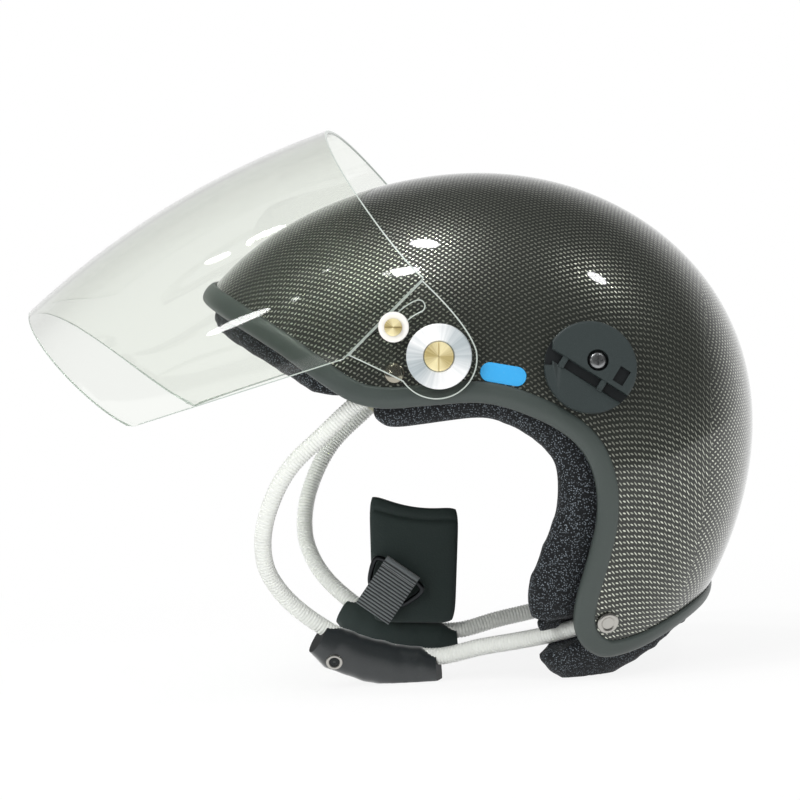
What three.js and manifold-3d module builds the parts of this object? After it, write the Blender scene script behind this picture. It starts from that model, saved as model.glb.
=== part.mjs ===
// Open-face paramotor helmet with a raised clear visor, side mounts for an ear-cup headset,
// two ribbed jaw hoops with leather covers, and a padded throat flap.
// Millimetres. The pieces are drawn round the visor pivot axis: +X is the back of the head,
// -Y the wearer's left and +Z up. The finished group stands on its nape pad and jaw covers.

import * as THREE from 'three';
import { mergeVertices } from 'three/addons/utils/BufferGeometryUtils.js';
import Module from 'manifold-3d';

const wasm = await Module();
wasm.setup();

// Shell: reaches from its centre, half width, wall, and where the centre lies from the pivot.
const half_width = 112;
const rear_reach = 136.5;
const crown_reach = 124.4;
const brow_reach = 155;
const nape_reach = 150;
const shell_wall = 3;
const centre_back = 10;
const centre_drop = 38;
const rest_tilt_deg = 3.75;
const ground_drop = 160;

// How square the shell is, above and below its centre: seen from the side and from the front.
const side_power_top = 2.6;
const side_power_foot = 4;
const width_power_top = 2;
const width_power_foot = 3.4;

// The cut edge as seen from the side, from the brow over the ear to the nape:
// x as a share of the rear reach, z as a share of the crown reach, from the shell's centre.
const rim_shares = [
  [-1.15, 0.6], [-0.985, 0.528], [-0.829, 0.455], [-0.633, 0.342], [-0.445, 0.208],
  [-0.356, 0.158], [-0.261, 0.142], [-0.131, 0.153], [0.04, 0.167], [0.15, 0.151],
  [0.262, 0.108], [0.352, 0.058], [0.426, -0.008], [0.474, -0.09], [0.5, -0.194],
  [0.501, -0.317], [0.48, -0.43], [0.455, -0.528], [0.431, -0.62], [0.42, -0.708],
  [0.434, -0.768], [0.463, -0.802], [0.506, -0.818], [0.6, -0.793], [0.7, -0.738],
  [0.8, -0.672], [0.97, -0.575],
];
const rim_stop_count = 35;
const rim_bend_weight = 60;

// Fits.
const gap = 0.3;
const overrun = 40;
const probe = 0.05;
const weld = 0.001;
const facet_sag = 1.3;

// Rubber edge trim.
const trim_width = 10;
const trim_leg = 1.6;
const trim_web = 2;
const trim_slack = 1.4;
const trim_shares = [
  [-0.85, 0.95], [0.2, 1], [0.95, 0.45], [0.95, -0.45], [0.2, -1], [-0.85, -0.95],
];

// Foam liner and comfort pads.
const liner_thickness = 17;
const liner_setback = 1.2;
const liner_foot = -103.5;
const pad_thickness = 18;
const pad_tuck = 9;
const brow_pad_reach = 12;
const ear_pad_reach = 25;
const nape_pad_reach = 16.5;
const lobe_pad_reach = 30.5;
const crown_pad_thickness = 9;
const crown_pad_middle_deg = 92;
const crown_pad_long_deg = 52;
const crown_pad_side_deg = 38;
const crown_pad_channel_share = 0.78;
const pad_seam_depth = 1.6;
const foot_flat = 0.5;

// Visor: one clear moulding with a flat arm on each side.
const visor_wall = 2;
const visor_stand_off = 3.2;
const visor_height = 174;
const visor_front = 124.5;
const visor_bulge = 9;
const visor_lower_half_width = 100;
const visor_lean_deg = 31;
const visor_swing_deg = 35;
const visor_arm_radius = 19.4;
const visor_arm_lead = 1.5;
const visor_arm_drop = 1;
const visor_arm_foot_deg = 215;
const visor_arm_back_deg = 372;
const visor_arm_foot_shares = [-1.35, -0.3];
const visor_arm_back_shares = [0.75, 0.9];
const visor_slot_radius = 25.5;
const visor_slot_width = 5.2;

// Pivot hardware.
const pivot_disc_diameter = 31;
const pivot_disc_thickness = 3.4;
const pivot_head_diameter = 14;
const pivot_head_height = 2.4;
const pivot_shank_diameter = 6;
const pivot_spacer_diameter = 24;
const pivot_nut_diameter = 16;
const pivot_nut_thickness = 4;
const stop_washer_diameter = 14.5;
const stop_washer_thickness = 2;
const stop_head_diameter = 8.4;
const stop_head_height = 1.8;
const stop_shank_diameter = 3;
const stop_post_diameter = 9;
const stop_angle_deg = 147.6;
const slot_depth = 0.9;
const slot_width = 1.2;

// Rivets that hold the jaw hoops: where along the rim's loop, and how far from the trim.
const temple_rim_share = 0.1793;
const temple_margin = 1.6;
const lobe_rim_share = 0.3717;
const lobe_margin = 0.9;
const rivet_head_diameter = 10;
const rivet_head_height = 2.2;
const rivet_shank_diameter = 4;
const rivet_tail_height = 1.5;
const hoop_eye_diameter = 12;
const hoop_eye_thickness = 2.4;

// Headset mount.
const mount_back_share = 0.436;
const mount_rise_share = 0.253;
const mount_diameter = 44;
const mount_thickness = 5;
const mount_base_height = 2.6;
const mount_base_inset = 1.5;
const mount_band_width = 5;
const mount_band_depth = 2.4;
const mount_band_angle_deg = -30;
const mount_crescent_drop = 1.2;
const mount_catch_width = 3;
const mount_catch_length = 6.5;
const mount_head_diameter = 8.6;
const mount_head_height = 2.6;
const mount_bore_diameter = 10.4;
const mount_bore_depth = 2.8;
const mount_screw_shank = 4;
const mount_screw_off = 4.4;
const mount_window_width = 7;
const mount_window_height = 13;

// Jaw hoops: a formed core in a ribbed sleeve.
const hoop_core_diameter = 4.6;
const hoop_sleeve_diameter = 8.4;
const hoop_rib_depth = 0.7;
const hoop_bore_diameter = 5.8;
const hoop_rib_count = 36;
const hoop_station_count = 14;
const hoop_groove_clearance = 1.2;
const hoop_groove_share = 0.2;

// Hoop route on the left: x, y and z as shares of the rear reach, half width and crown reach.
const hoop_shares = [
  [-0.3, -0.885, 0.165], [-0.378, -0.866, 0.112], [-0.486, -0.86, 0.002],
  [-0.61, -0.86, -0.133], [-0.676, -0.84, -0.264], [-0.71, -0.805, -0.397],
  [-0.708, -0.75, -0.518], [-0.674, -0.685, -0.608], [-0.613, -0.62, -0.693],
  [-0.505, -0.555, -0.786], [-0.415, -0.52, -0.835], [-0.3, -0.505, -0.872],
  [-0.2, -0.503, -0.889], [-0.1, -0.515, -0.889], [0.04, -0.555, -0.848],
  [0.17, -0.61, -0.817], [0.29, -0.675, -0.784], [0.4, -0.735, -0.745], [0.455, -0.76, -0.72],
];

// Leather jaw covers.
const cover_from_share = 0.522;
const cover_to_share = 0.716;
const cover_half_height = 10.5;
const cover_half_width = 8.5;
const cover_drop = 6.2;
const cover_channel_from_share = 0.42;
const cover_channel_to_share = 0.82;

// Throat flap: padded flap, folded webbing and its ring.
const throat_pad_width = 46;
const throat_pad_height = 66;
const throat_pad_thickness = 7;
const throat_pad_back = -26.5;
const throat_pad_off = 48.1;
const throat_pad_foot = -144;
const throat_pad_sag = 3.5;
const throat_pad_slope = 6;
const webbing_width = 20;
const webbing_thickness = 3;
const webbing_length = 26;
const webbing_angle_deg = 56;
const webbing_back = -32.5;
const webbing_off = 39.2;
const webbing_drop = -117;
const ring_wire = 2.6;
const ring_depth = 16;
const eye_wall = 1.5;

const rad = THREE.MathUtils.degToRad;
const mix = THREE.MathUtils.lerp;
const X = new THREE.Vector3(1, 0, 0);
const Y = new THREE.Vector3(0, 1, 0);
const Z = new THREE.Vector3(0, 0, 1);
const centre_x = centre_back;
const centre_z = -centre_drop;

// Shell surface

function ease(t) {
  return t * t * (3 - 2 * t);
}

function shellOutline(angle) {
  const c = Math.cos(angle);
  const s = Math.sin(angle);
  const back = ease(0.5 + 0.5 * c);
  const top = ease(0.5 + 0.5 * s);
  const across = mix(brow_reach ** -2, rear_reach ** -2, back);
  const upright = mix(nape_reach ** -2, crown_reach ** -2, top);
  return {
    reach: 1 / Math.sqrt(c * c * across + s * s * upright),
    sidePower: mix(side_power_foot, side_power_top, top),
    widthPower: mix(width_power_foot, width_power_top, top),
  };
}

function shellPoint(angle, lean, inset) {
  const { reach, sidePower, widthPower } = shellOutline(angle);
  const fill = Math.sin(lean) ** (2 / sidePower);
  const across = Math.abs(Math.cos(lean)) ** (2 / widthPower) * -Math.sign(Math.cos(lean));
  const radius = fill * (reach - inset);
  return new THREE.Vector3(
    centre_x + radius * Math.cos(angle),
    across * (half_width - inset),
    centre_z + radius * Math.sin(angle),
  );
}

function shellFill(x, z, inset) {
  const angle = Math.atan2(z - centre_z, x - centre_x);
  return Math.hypot(x - centre_x, z - centre_z) / (shellOutline(angle).reach - inset);
}

function shellHalfWidth(x, z, inset) {
  const { sidePower, widthPower } = shellOutline(Math.atan2(z - centre_z, x - centre_x));
  const fill = Math.min(1, shellFill(x, z, inset));
  return (half_width - inset) * (1 - fill ** sidePower) ** (1 / widthPower);
}

function shellLevel(point, inset) {
  const { sidePower, widthPower } = shellOutline(
    Math.atan2(point.z - centre_z, point.x - centre_x));
  const across = (Math.abs(point.y) / (half_width - inset)) ** widthPower;
  return shellFill(point.x, point.z, inset) ** sidePower + across;
}

function shellNormal(point, inset) {
  const slope = [X, Y, Z].map((axis) => {
    const ahead = shellLevel(point.clone().addScaledVector(axis, probe), inset);
    const behind = shellLevel(point.clone().addScaledVector(axis, -probe), inset);
    return ahead - behind;
  });
  return new THREE.Vector3(...slope).normalize();
}

function shellSeat(x, z, side) {
  const point = new THREE.Vector3(x, side * shellHalfWidth(x, z, 0), z);
  return { point, normal: shellNormal(point, 0) };
}

// Solids and geometries

function signedVolume(points, faces) {
  let sum = 0;
  for (const [a, b, c] of faces) {
    sum += points[a].dot(new THREE.Vector3().crossVectors(points[b], points[c]));
  }
  return sum;
}

function closedGeometry(points, faces) {
  const turned = signedVolume(points, faces) < 0 ? faces.map(([a, b, c]) => [a, c, b]) : faces;
  const geometry = new THREE.BufferGeometry();
  geometry.setAttribute('position', new THREE.Float32BufferAttribute(
    points.flatMap((p) => [p.x, p.y, p.z]), 3));
  geometry.setIndex(turned.flat());
  return geometry;
}

// Rings of equal count joined one to the next, with a fan at each end or closed on itself.
function loft(rings, closed = false) {
  const count = rings[0].length;
  const points = rings.flat();
  const faces = [];
  const last = closed ? rings.length : rings.length - 1;
  for (let i = 0; i < last; i += 1) {
    const here = i * count;
    const next = ((i + 1) % rings.length) * count;
    for (let j = 0; j < count; j += 1) {
      const k = (j + 1) % count;
      faces.push([here + j, here + k, next + k], [here + j, next + k, next + j]);
    }
  }
  if (!closed) {
    for (const [ring, flip] of [[0, true], [rings.length - 1, false]]) {
      const middle = new THREE.Vector3();
      rings[ring].forEach((p) => middle.addScaledVector(p, 1 / count));
      points.push(middle);
      for (let j = 0; j < count; j += 1) {
        const pair = [ring * count + j, ring * count + (j + 1) % count];
        faces.push(flip ? [points.length - 1, pair[1], pair[0]] : [points.length - 1, ...pair]);
      }
    }
  }
  return closedGeometry(points, faces);
}

// A sheet given by two grids of points, front and back, stitched along its border.
function slab(front, back) {
  const rows = front.length;
  const columns = front[0].length;
  const points = [...front.flat(), ...back.flat()];
  const behind = rows * columns;
  const faces = [];
  for (let i = 0; i < rows - 1; i += 1) {
    for (let j = 0; j < columns - 1; j += 1) {
      const a = i * columns + j;
      const b = a + columns;
      faces.push([a, b, b + 1], [a, b + 1, a + 1]);
      faces.push([behind + a, behind + b + 1, behind + b]);
      faces.push([behind + a, behind + a + 1, behind + b + 1]);
    }
  }
  const border = [];
  for (let j = 0; j < columns - 1; j += 1) border.push(j);
  for (let i = 0; i < rows - 1; i += 1) border.push(i * columns + columns - 1);
  for (let j = columns - 1; j > 0; j -= 1) border.push((rows - 1) * columns + j);
  for (let i = rows - 1; i > 0; i -= 1) border.push(i * columns);
  border.forEach((a, n) => {
    const b = border[(n + 1) % border.length];
    faces.push([a, b, behind + b], [a, behind + b, behind + a]);
  });
  return closedGeometry(points, faces);
}

function solid(geometry) {
  const bare = new THREE.BufferGeometry();
  bare.setAttribute('position', geometry.getAttribute('position'));
  bare.setIndex(geometry.getIndex());
  const merged = mergeVertices(bare, weld);
  return new wasm.Manifold(new wasm.Mesh({
    numProp: 3,
    vertProperties: new Float32Array(merged.getAttribute('position').array),
    triVerts: new Uint32Array(merged.getIndex().array),
  }));
}

function geometryOf(body) {
  const mesh = body.getMesh();
  const geometry = new THREE.BufferGeometry();
  geometry.setAttribute('position', new THREE.Float32BufferAttribute(mesh.vertProperties, 3));
  geometry.setIndex([...mesh.triVerts]);
  return geometry;
}

function cut(body, ...tools) {
  return tools.reduce((rest, tool) => rest.subtract(tool), body);
}

function join(...bodies) {
  return bodies.reduce((sum, body) => sum.add(body));
}

// The largest body, without the loose chips that crossing cuts leave behind.
function mainBody(body) {
  return body.decompose().sort((a, b) => b.volume() - a.volume())[0];
}

// A closed skin of the shell's shape, drawn in by the inset.
function shellSkin(inset, around = 32, over = 14) {
  const rings = [];
  for (let j = 1; j < over; j += 1) {
    const ring = [];
    for (let i = 0; i < around; i += 1) {
      ring.push(shellPoint(i / around * 2 * Math.PI, j / over * Math.PI, inset));
    }
    rings.push(ring);
  }
  const skin = loft(rings);
  const points = skin.getAttribute('position');
  const ends = (over - 1) * around;
  points.setXYZ(ends, centre_x, -(half_width - inset), centre_z);
  points.setXYZ(ends + 1, centre_x, half_width - inset, centre_z);
  return solid(skin);
}

// A revolved solid about +Z: radius and height pairs, from the axis out and back to it.
function turned(profile, segments = 20) {
  const points = profile.map(([r, z]) => new THREE.Vector2(r, z));
  const geometry = new THREE.LatheGeometry(points, segments);
  geometry.rotateX(Math.PI / 2);
  return solid(outward(geometry));
}

function outward(geometry) {
  const bare = new THREE.BufferGeometry();
  bare.setAttribute('position', geometry.getAttribute('position'));
  bare.setIndex(geometry.getIndex());
  const merged = mergeVertices(bare, weld);
  const position = merged.getAttribute('position');
  const points = [];
  for (let i = 0; i < position.count; i += 1) {
    points.push(new THREE.Vector3().fromBufferAttribute(position, i));
  }
  const faces = [];
  const index = merged.getIndex().array;
  for (let i = 0; i < index.length; i += 3) {
    const face = [index[i], index[i + 1], index[i + 2]];
    if (new Set(face).size === 3) faces.push(face);
  }
  return closedGeometry(points, faces);
}

function disc(radius, low, high, segments = 20) {
  return turned([[0, low], [radius, low], [radius, high], [0, high]], segments);
}

function block(width, depth, height, x = 0, y = 0, z = 0, turn = 0) {
  const geometry = new THREE.BoxGeometry(width, depth, height);
  geometry.rotateZ(turn);
  geometry.translate(x, y, z);
  return solid(geometry);
}

// A solid with straight sides along +Y, from a side view outline of Vector2.
function prism(outline, low, high) {
  const geometry = new THREE.ExtrudeGeometry(new THREE.Shape(outline), {
    depth: high - low, bevelEnabled: false, curveSegments: 12,
  });
  geometry.rotateX(Math.PI / 2);
  geometry.translate(0, high, 0);
  return solid(outward(geometry));
}

function moved(body, matrix) {
  const geometry = geometryOf(body);
  geometry.applyMatrix4(matrix);
  return solid(outward(geometry));
}

// The frame of a piece that stands on the shell or on the visor's arm, +Z outward.
function seatMatrix(point, normal, side) {
  const up = new THREE.Vector3().crossVectors(normal, X).multiplyScalar(-side).normalize();
  const along = new THREE.Vector3().crossVectors(up, normal).normalize();
  return new THREE.Matrix4().makeBasis(along, up, normal).setPosition(point);
}

// Rim: the cut edge of the shell and the frames along it

const rim_curve = new THREE.SplineCurve(rim_shares.map(([x, z]) => (
  new THREE.Vector2(centre_x + x * rear_reach, centre_z + z * crown_reach))));

function rimCrossing(inside, outside) {
  let a = inside;
  let b = outside;
  for (let i = 0; i < 40; i += 1) {
    const middle = (a + b) / 2;
    const point = rim_curve.getPoint(middle);
    if (shellFill(point.x, point.y, shell_wall / 2) < 1) a = middle;
    else b = middle;
  }
  return a;
}

const rim_start = rimCrossing(0.1, 0);
const rim_end = rimCrossing(0.9, 1);

const rim_steps = 160;

function rimPlace(step) {
  return mix(rim_start, rim_end, (1 - Math.cos(Math.PI * step / rim_steps)) / 2);
}

function rimSidePoints() {
  const points = [];
  for (let i = 0; i <= rim_steps; i += 1) {
    const flat = rim_curve.getPoint(rimPlace(i));
    const width = shellHalfWidth(flat.x, flat.y, shell_wall / 2);
    points.push(new THREE.Vector3(flat.x, i % rim_steps === 0 ? 0 : -width, flat.y));
  }
  return points;
}

const rim_side = rimSidePoints();
const rim_loop = new THREE.CatmullRomCurve3(
  [...rim_side, ...rim_side.slice(1, -1).reverse().map((p) => new THREE.Vector3(p.x, -p.y, p.z))],
  true);
rim_loop.arcLengthDivisions = 5 * rim_steps;

// Stops along the left half of the rim, closer together where it bends: the place on the side
// view curve and the share of the whole loop.
function rimStops(count) {
  const lengths = [0];
  const weights = [0];
  for (let i = 1; i <= rim_steps; i += 1) {
    const run = new THREE.Vector3().subVectors(rim_side[i], rim_side[i - 1]);
    const last = new THREE.Vector3().subVectors(rim_side[i - 1], rim_side[Math.max(0, i - 2)]);
    const bend = i > 1 ? run.angleTo(last) : 0;
    lengths.push(lengths[i - 1] + run.length());
    weights.push(weights[i - 1] + run.length() + bend * rim_bend_weight);
  }
  const stops = [];
  for (let n = 0; n <= count; n += 1) {
    const target = weights[rim_steps] * n / count;
    const i = Math.max(1, weights.findIndex((weight) => weight >= target - weld));
    const part = (target - weights[i - 1]) / (weights[i] - weights[i - 1]);
    stops.push({
      place: rimPlace(i - 1 + part),
      share: mix(lengths[i - 1], lengths[i], part) / lengths[rim_steps] / 2,
    });
  }
  return stops;
}

const rim_stops = rimStops(rim_stop_count);

function rimOutline(offset) {
  const places = [0, ...rim_stops.map(({ place }) => place), 1];
  const points = places.map((place) => {
    const point = rim_curve.getPoint(place);
    const tangent = rim_curve.getTangent(place);
    return new THREE.Vector2(point.x + tangent.y * offset, point.y - tangent.x * offset);
  });
  const far = 2 * brow_reach;
  points.push(new THREE.Vector2(far, points[points.length - 1].y));
  points.push(new THREE.Vector2(far, -far), new THREE.Vector2(-far, -far));
  points.push(new THREE.Vector2(-far, points[0].y));
  return points;
}

// Share 0 is the brow, 0.5 the nape; the left side comes first.
function rimFrame(share) {
  const wrapped = ((share % 1) + 1) % 1;
  const point = rim_loop.getPointAt(wrapped);
  const along = rim_loop.getTangentAt(wrapped);
  const out = shellNormal(point, shell_wall / 2);
  out.addScaledVector(along, -out.dot(along)).normalize();
  const open = new THREE.Vector3().crossVectors(along, out).normalize();
  return { point, along, out, open };
}

function framePoint(frame, open, out) {
  return frame.point.clone().addScaledVector(frame.open, open).addScaledVector(frame.out, out);
}

// Shell, trim and liner

const outer_skin = shellSkin(0);
const inner_skin = shellSkin(shell_wall);
const outer_clear = shellSkin(-gap);
const inner_clear = shellSkin(shell_wall + gap);
const shell_edge = trim_width / 2 - trim_web - trim_slack - gap;

function rimTool(offset) {
  return prism(rimOutline(offset), -half_width - overrun, half_width + overrun);
}

function trimSection() {
  const half = trim_width / 2;
  const slot = shell_wall / 2 + trim_slack + gap;
  const thick = slot + trim_leg;
  const outer = trim_shares.map(([open, out]) => [open * half, out * thick]);
  return [[-half, slot], ...outer, [-half, -slot], [half - trim_web, -slot], [half - trim_web, slot]];
}

// A closed loop along the rim with the same section all the way round.
function rimLoop(section) {
  const left = rim_stops.map(({ share }) => share);
  const right = left.slice(1, -1).reverse().map((share) => 1 - share);
  return solid(loft([...left, ...right].map((share) => {
    const frame = rimFrame(share);
    return section.map(([open, out]) => framePoint(frame, open, out));
  }), true));
}

// What lies past the shell's edge, square to the shell also where the side view cut is oblique.
function edgeBand() {
  const far = shell_edge + trim_width;
  const deep = trim_width;
  return rimLoop([[shell_edge, -deep], [far, -deep], [far, deep], [shell_edge, deep]]);
}

// Pads: rolls that follow the rim inside the shell, with a reach past it that varies.

function rollRings({ from, to, steps, reach, thickness, swell = 0, sides = 8, seam = 0 }) {
  const rings = [];
  for (let i = 0; i <= steps; i += 1) {
    const share = i / steps;
    const frame = rimFrame(mix(from, to, share));
    const end = Math.min(share, 1 - share) * steps;
    const taper = Math.min(1, 0.45 + 0.3 * end);
    const deep = shell_wall / 2 + trim_slack + gap + trim_leg + gap + thickness / 2;
    const half = ((reach(share) + pad_tuck) / 2) * taper + swell;
    const middle = (reach(share) - pad_tuck) / 2;
    const thick = thickness / 2 * taper + swell;
    const pinch = seam && i % 4 === 2 ? seam : 0;
    const ring = [];
    for (let j = 0; j < sides; j += 1) {
      const turn = j / sides * 2 * Math.PI;
      const c = Math.cos(turn);
      const s = Math.sin(turn);
      const open = Math.sign(c) * Math.abs(c) ** 0.8 * (half - pinch);
      const out = Math.sign(s) * Math.abs(s) ** 0.8 * (thick - pinch);
      ring.push(framePoint(frame, middle + open, out - deep));
    }
    rings.push(ring);
  }
  return rings;
}

function roll(settings) {
  return solid(loft(rollRings(settings)));
}

const brow_pad_end_share = 0.155;
const ear_pad_start_share = 0.165;
const ear_pad_end_share = 0.362;
const nape_pad_start_share = 0.367;

function earReach(share) {
  return mix(brow_pad_reach, ear_pad_reach, ease(THREE.MathUtils.clamp((share - 0.25) / 0.45, 0, 1)));
}

function napeReach(share) {
  const side = THREE.MathUtils.clamp((Math.abs(2 * share - 1) - 0.45) / 0.35, 0, 1);
  return mix(nape_pad_reach, lobe_pad_reach, ease(side));
}

const roll_settings = {
  brow_pad: {
    from: -brow_pad_end_share, to: brow_pad_end_share, steps: 24,
    reach: () => brow_pad_reach, thickness: pad_thickness, seam: pad_seam_depth,
  },
  left_ear_pad: {
    from: ear_pad_start_share, to: ear_pad_end_share, steps: 20,
    reach: earReach, thickness: pad_thickness, seam: pad_seam_depth,
  },
  right_ear_pad: {
    from: 1 - ear_pad_start_share, to: 1 - ear_pad_end_share, steps: 20,
    reach: earReach, thickness: pad_thickness, seam: pad_seam_depth,
  },
  nape_pad: {
    from: nape_pad_start_share, to: 1 - nape_pad_start_share, steps: 24,
    reach: napeReach, thickness: pad_thickness, seam: pad_seam_depth,
  },
};

// Jaw hoops

function hoopPoint(shares, side) {
  return new THREE.Vector3(
    centre_x + shares[0] * rear_reach,
    -side * shares[1] * half_width,
    centre_z + shares[2] * crown_reach,
  );
}

function hoopCurve(side) {
  const curve = new THREE.CatmullRomCurve3(hoop_shares.map((shares) => hoopPoint(shares, side)));
  curve.arcLengthDivisions = 400;
  return curve;
}

function hoopFrame(curve, share, side) {
  const point = curve.getPointAt(share);
  const along = curve.getTangentAt(share);
  const out = Y.clone().multiplyScalar(side);
  out.addScaledVector(along, -out.dot(along)).normalize();
  const open = new THREE.Vector3().crossVectors(along, out).normalize();
  return { point, along, out, open };
}

function roundRing(frame, radius, sides) {
  const ring = [];
  for (let j = 0; j < sides; j += 1) {
    const turn = j / sides * 2 * Math.PI;
    ring.push(framePoint(frame, radius * Math.cos(turn), radius * Math.sin(turn)));
  }
  return ring;
}

function hoopTube(side, radius, from = 0, to = 1, steps = 28) {
  const curve = hoopCurve(side);
  const rings = [];
  for (let i = 0; i <= steps; i += 1) {
    rings.push(roundRing(hoopFrame(curve, mix(from, to, i / steps), side), radius, 8));
  }
  return solid(loft(rings));
}

// Core and bore share their stations, so that both bend in the same places.
function hoopStations() {
  const first = 0.25 / hoop_rib_count;
  return Array.from({ length: hoop_station_count + 1 }, (_, i) => (
    mix(first, 1 - first, i / hoop_station_count)));
}

// The channels that let a hoop's two ends in beside the liner and the pads.
function hoopGrooves(side) {
  const radius = hoop_sleeve_diameter / 2 + hoop_groove_clearance;
  return [
    hoopTube(side, radius, 0, hoop_groove_share, 7),
    hoopTube(side, radius, 1 - hoop_groove_share, 1, 7),
  ];
}

function hoopSleeve(side) {
  const curve = hoopCurve(side);
  const crest = hoop_sleeve_diameter / 2;
  const rings = [];
  for (let i = 0; i < hoop_rib_count; i += 1) {
    for (const [step, radius] of [[0.25, crest], [0.75, crest - hoop_rib_depth]]) {
      rings.push(roundRing(hoopFrame(curve, (i + step) / hoop_rib_count, side), radius, 8));
    }
  }
  const bore = hoopStations().map((share) => (
    roundRing(hoopFrame(curve, share, side), hoop_bore_diameter / 2, 8)));
  return solid(loft([...rings, ...bore.reverse()], true));
}

// Visor

const lean = rad(visor_lean_deg);
const visor_up = new THREE.Vector3(Math.cos(lean), 0, Math.sin(lean));
const visor_out = new THREE.Vector3(-Math.sin(lean), 0, Math.cos(lean));
const arm_inner = half_width + visor_stand_off;
const arm_middle = arm_inner + visor_wall / 2;
const arm_outer = arm_inner + visor_wall;

// Side edge of the panel: up and out of the pivot, as shares of its height and front distance.
const visor_edge_shares = { foot: [-0.83, 0.37], heel: [-0.228, 0.175], crest: [0.074, 0.283] };
const visor_tip_share = -1;
const visor_top_share = 0;
const arm_end_share = 0.03;
const arm_step = 0.25;
const arm_lap = 3;

function visorMidPoint(rise, turn) {
  const { foot, heel, crest } = visor_edge_shares;
  const low = rise < 2 / 3
    ? foot.map((value, i) => mix(value, heel[i], rise * 1.5))
    : heel.map((value, i) => mix(value, crest[i], rise * 3 - 2));
  const middle_up = mix(visor_tip_share, visor_top_share, rise) * visor_height;
  const middle_out = visor_front + visor_bulge * 4 * rise * (1 - rise);
  const width = mix(visor_lower_half_width, arm_middle, Math.min(1, rise * 1.5) ** 0.6);
  const across = Math.sin(turn);
  const round = Math.abs(Math.cos(turn));
  const sweep = round ** (2 / 2.3);
  const up = mix(low[0] * visor_height, middle_up, round ** 0.6);
  const out = mix(low[1] * visor_front, middle_out, sweep);
  const y = Math.sign(across) * Math.abs(across) ** (2 / 2.1) * width;
  return new THREE.Vector3(0, y, 0).addScaledVector(visor_up, up).addScaledVector(visor_out, out);
}

function visorPanel(rows = 9, columns = 22) {
  const middle = [];
  for (let i = 0; i <= rows; i += 1) {
    const row = [];
    for (let j = 0; j <= columns; j += 1) {
      row.push(visorMidPoint(i / rows, (j / columns - 0.5) * Math.PI));
    }
    middle.push(row);
  }
  const front = [];
  const back = [];
  middle.forEach((row, i) => {
    front.push([]);
    back.push([]);
    row.forEach((point, j) => {
      const rise = new THREE.Vector3().subVectors(
        middle[Math.min(rows, i + 1)][j], middle[Math.max(0, i - 1)][j]);
      const run = new THREE.Vector3().subVectors(
        row[Math.min(columns, j + 1)], row[Math.max(0, j - 1)]);
      const out = rise.cross(run).normalize();
      if (j === 0 || j === columns) out.set(0, Math.sign(point.y), 0);
      front[i].push(point.clone().addScaledVector(out, visor_wall / 2));
      back[i].push(point.clone().addScaledVector(out, -visor_wall / 2));
    });
  });
  return solid(slab(front, back));
}

function visorArmOutline() {
  const shape = new THREE.Shape();
  const ends = [visorSidePoint('heel'), visorSidePoint('crest')];
  const heel = ends[0].clone().lerp(ends[1], arm_end_share);
  const crest = ends[1].clone().lerp(ends[0], arm_end_share);
  const lap = new THREE.Vector2(heel.y - crest.y, crest.x - heel.x).setLength(arm_lap);
  heel.add(lap);
  crest.add(lap);
  const r = visor_arm_radius;
  shape.moveTo(heel.x, heel.y);
  const foot = rad(visor_arm_foot_deg);
  const middle = [-visor_arm_lead, -visor_arm_drop];
  const low_bend = visor_arm_foot_shares.map((share, i) => middle[i] + share * r);
  const high_bend = visor_arm_back_shares.map((share, i) => middle[i] + share * r);
  shape.quadraticCurveTo(...low_bend, middle[0] + Math.cos(foot) * r, middle[1] + Math.sin(foot) * r);
  shape.absarc(...middle, r, foot, rad(visor_arm_back_deg), false);
  shape.quadraticCurveTo(...high_bend, crest.x, crest.y);
  return shape.getPoints(6);
}

function visorSidePoint(name) {
  const [up, out] = visor_edge_shares[name];
  const point = new THREE.Vector3().addScaledVector(visor_up, up * visor_height)
    .addScaledVector(visor_out, out * visor_front);
  return new THREE.Vector2(point.x, point.z);
}

function visorSlotOutline(clearance = 0) {
  const shape = new THREE.Shape();
  const half = visor_slot_width / 2 + clearance;
  const start = rad(stop_angle_deg);
  const end = start - rad(visor_swing_deg);
  shape.absarc(0, 0, visor_slot_radius + half, start, end, true);
  shape.absarc(Math.cos(end) * visor_slot_radius, Math.sin(end) * visor_slot_radius,
    half, end, end - Math.PI, true);
  shape.absarc(0, 0, visor_slot_radius - half, end, start, false);
  shape.absarc(Math.cos(start) * visor_slot_radius, Math.sin(start) * visor_slot_radius,
    half, start + Math.PI, start, true);
  return shape.getPoints(4);
}

function circleOutline(radius, count = 16) {
  return Array.from({ length: count }, (_, i) => new THREE.Vector2(
    radius * Math.cos(i / count * 2 * Math.PI), radius * Math.sin(i / count * 2 * Math.PI)));
}

function visorSolid() {
  const arms = [-1, 1].map((side) => {
    const ends = [side * (arm_inner + arm_step), side * (arm_outer - arm_step)].sort((a, b) => a - b);
    return cut(
      prism(visorArmOutline(), ...ends),
      prism(visorSlotOutline(), ends[0] - overrun, ends[1] + overrun),
      prism(circleOutline(pivot_shank_diameter / 2 + gap), ends[0] - overrun, ends[1] + overrun),
    );
  });
  return mainBody(join(visorPanel(), ...arms));
}

// Pivot hardware, drawn along +Z with zero on the visor pivot's mid-plane

function slottedHead(radius, low, high, shank, foot, slotTurn) {
  const body = turned([
    [0, foot], [shank, foot], [shank, low], [radius, low], [radius, high - slot_depth / 2],
    [radius - slot_depth / 2, high], [0, high],
  ], 14);
  return cut(body, block(4 * radius, slot_width, 2 * slot_depth, 0, 0, high, slotTurn));
}

const disc_low = arm_outer + gap;
const disc_high = disc_low + pivot_disc_thickness;
const pivot_shell = shellHalfWidth(0, 0, 0);
const nut_foot = pivot_shell - shell_wall - pivot_nut_thickness;

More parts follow.
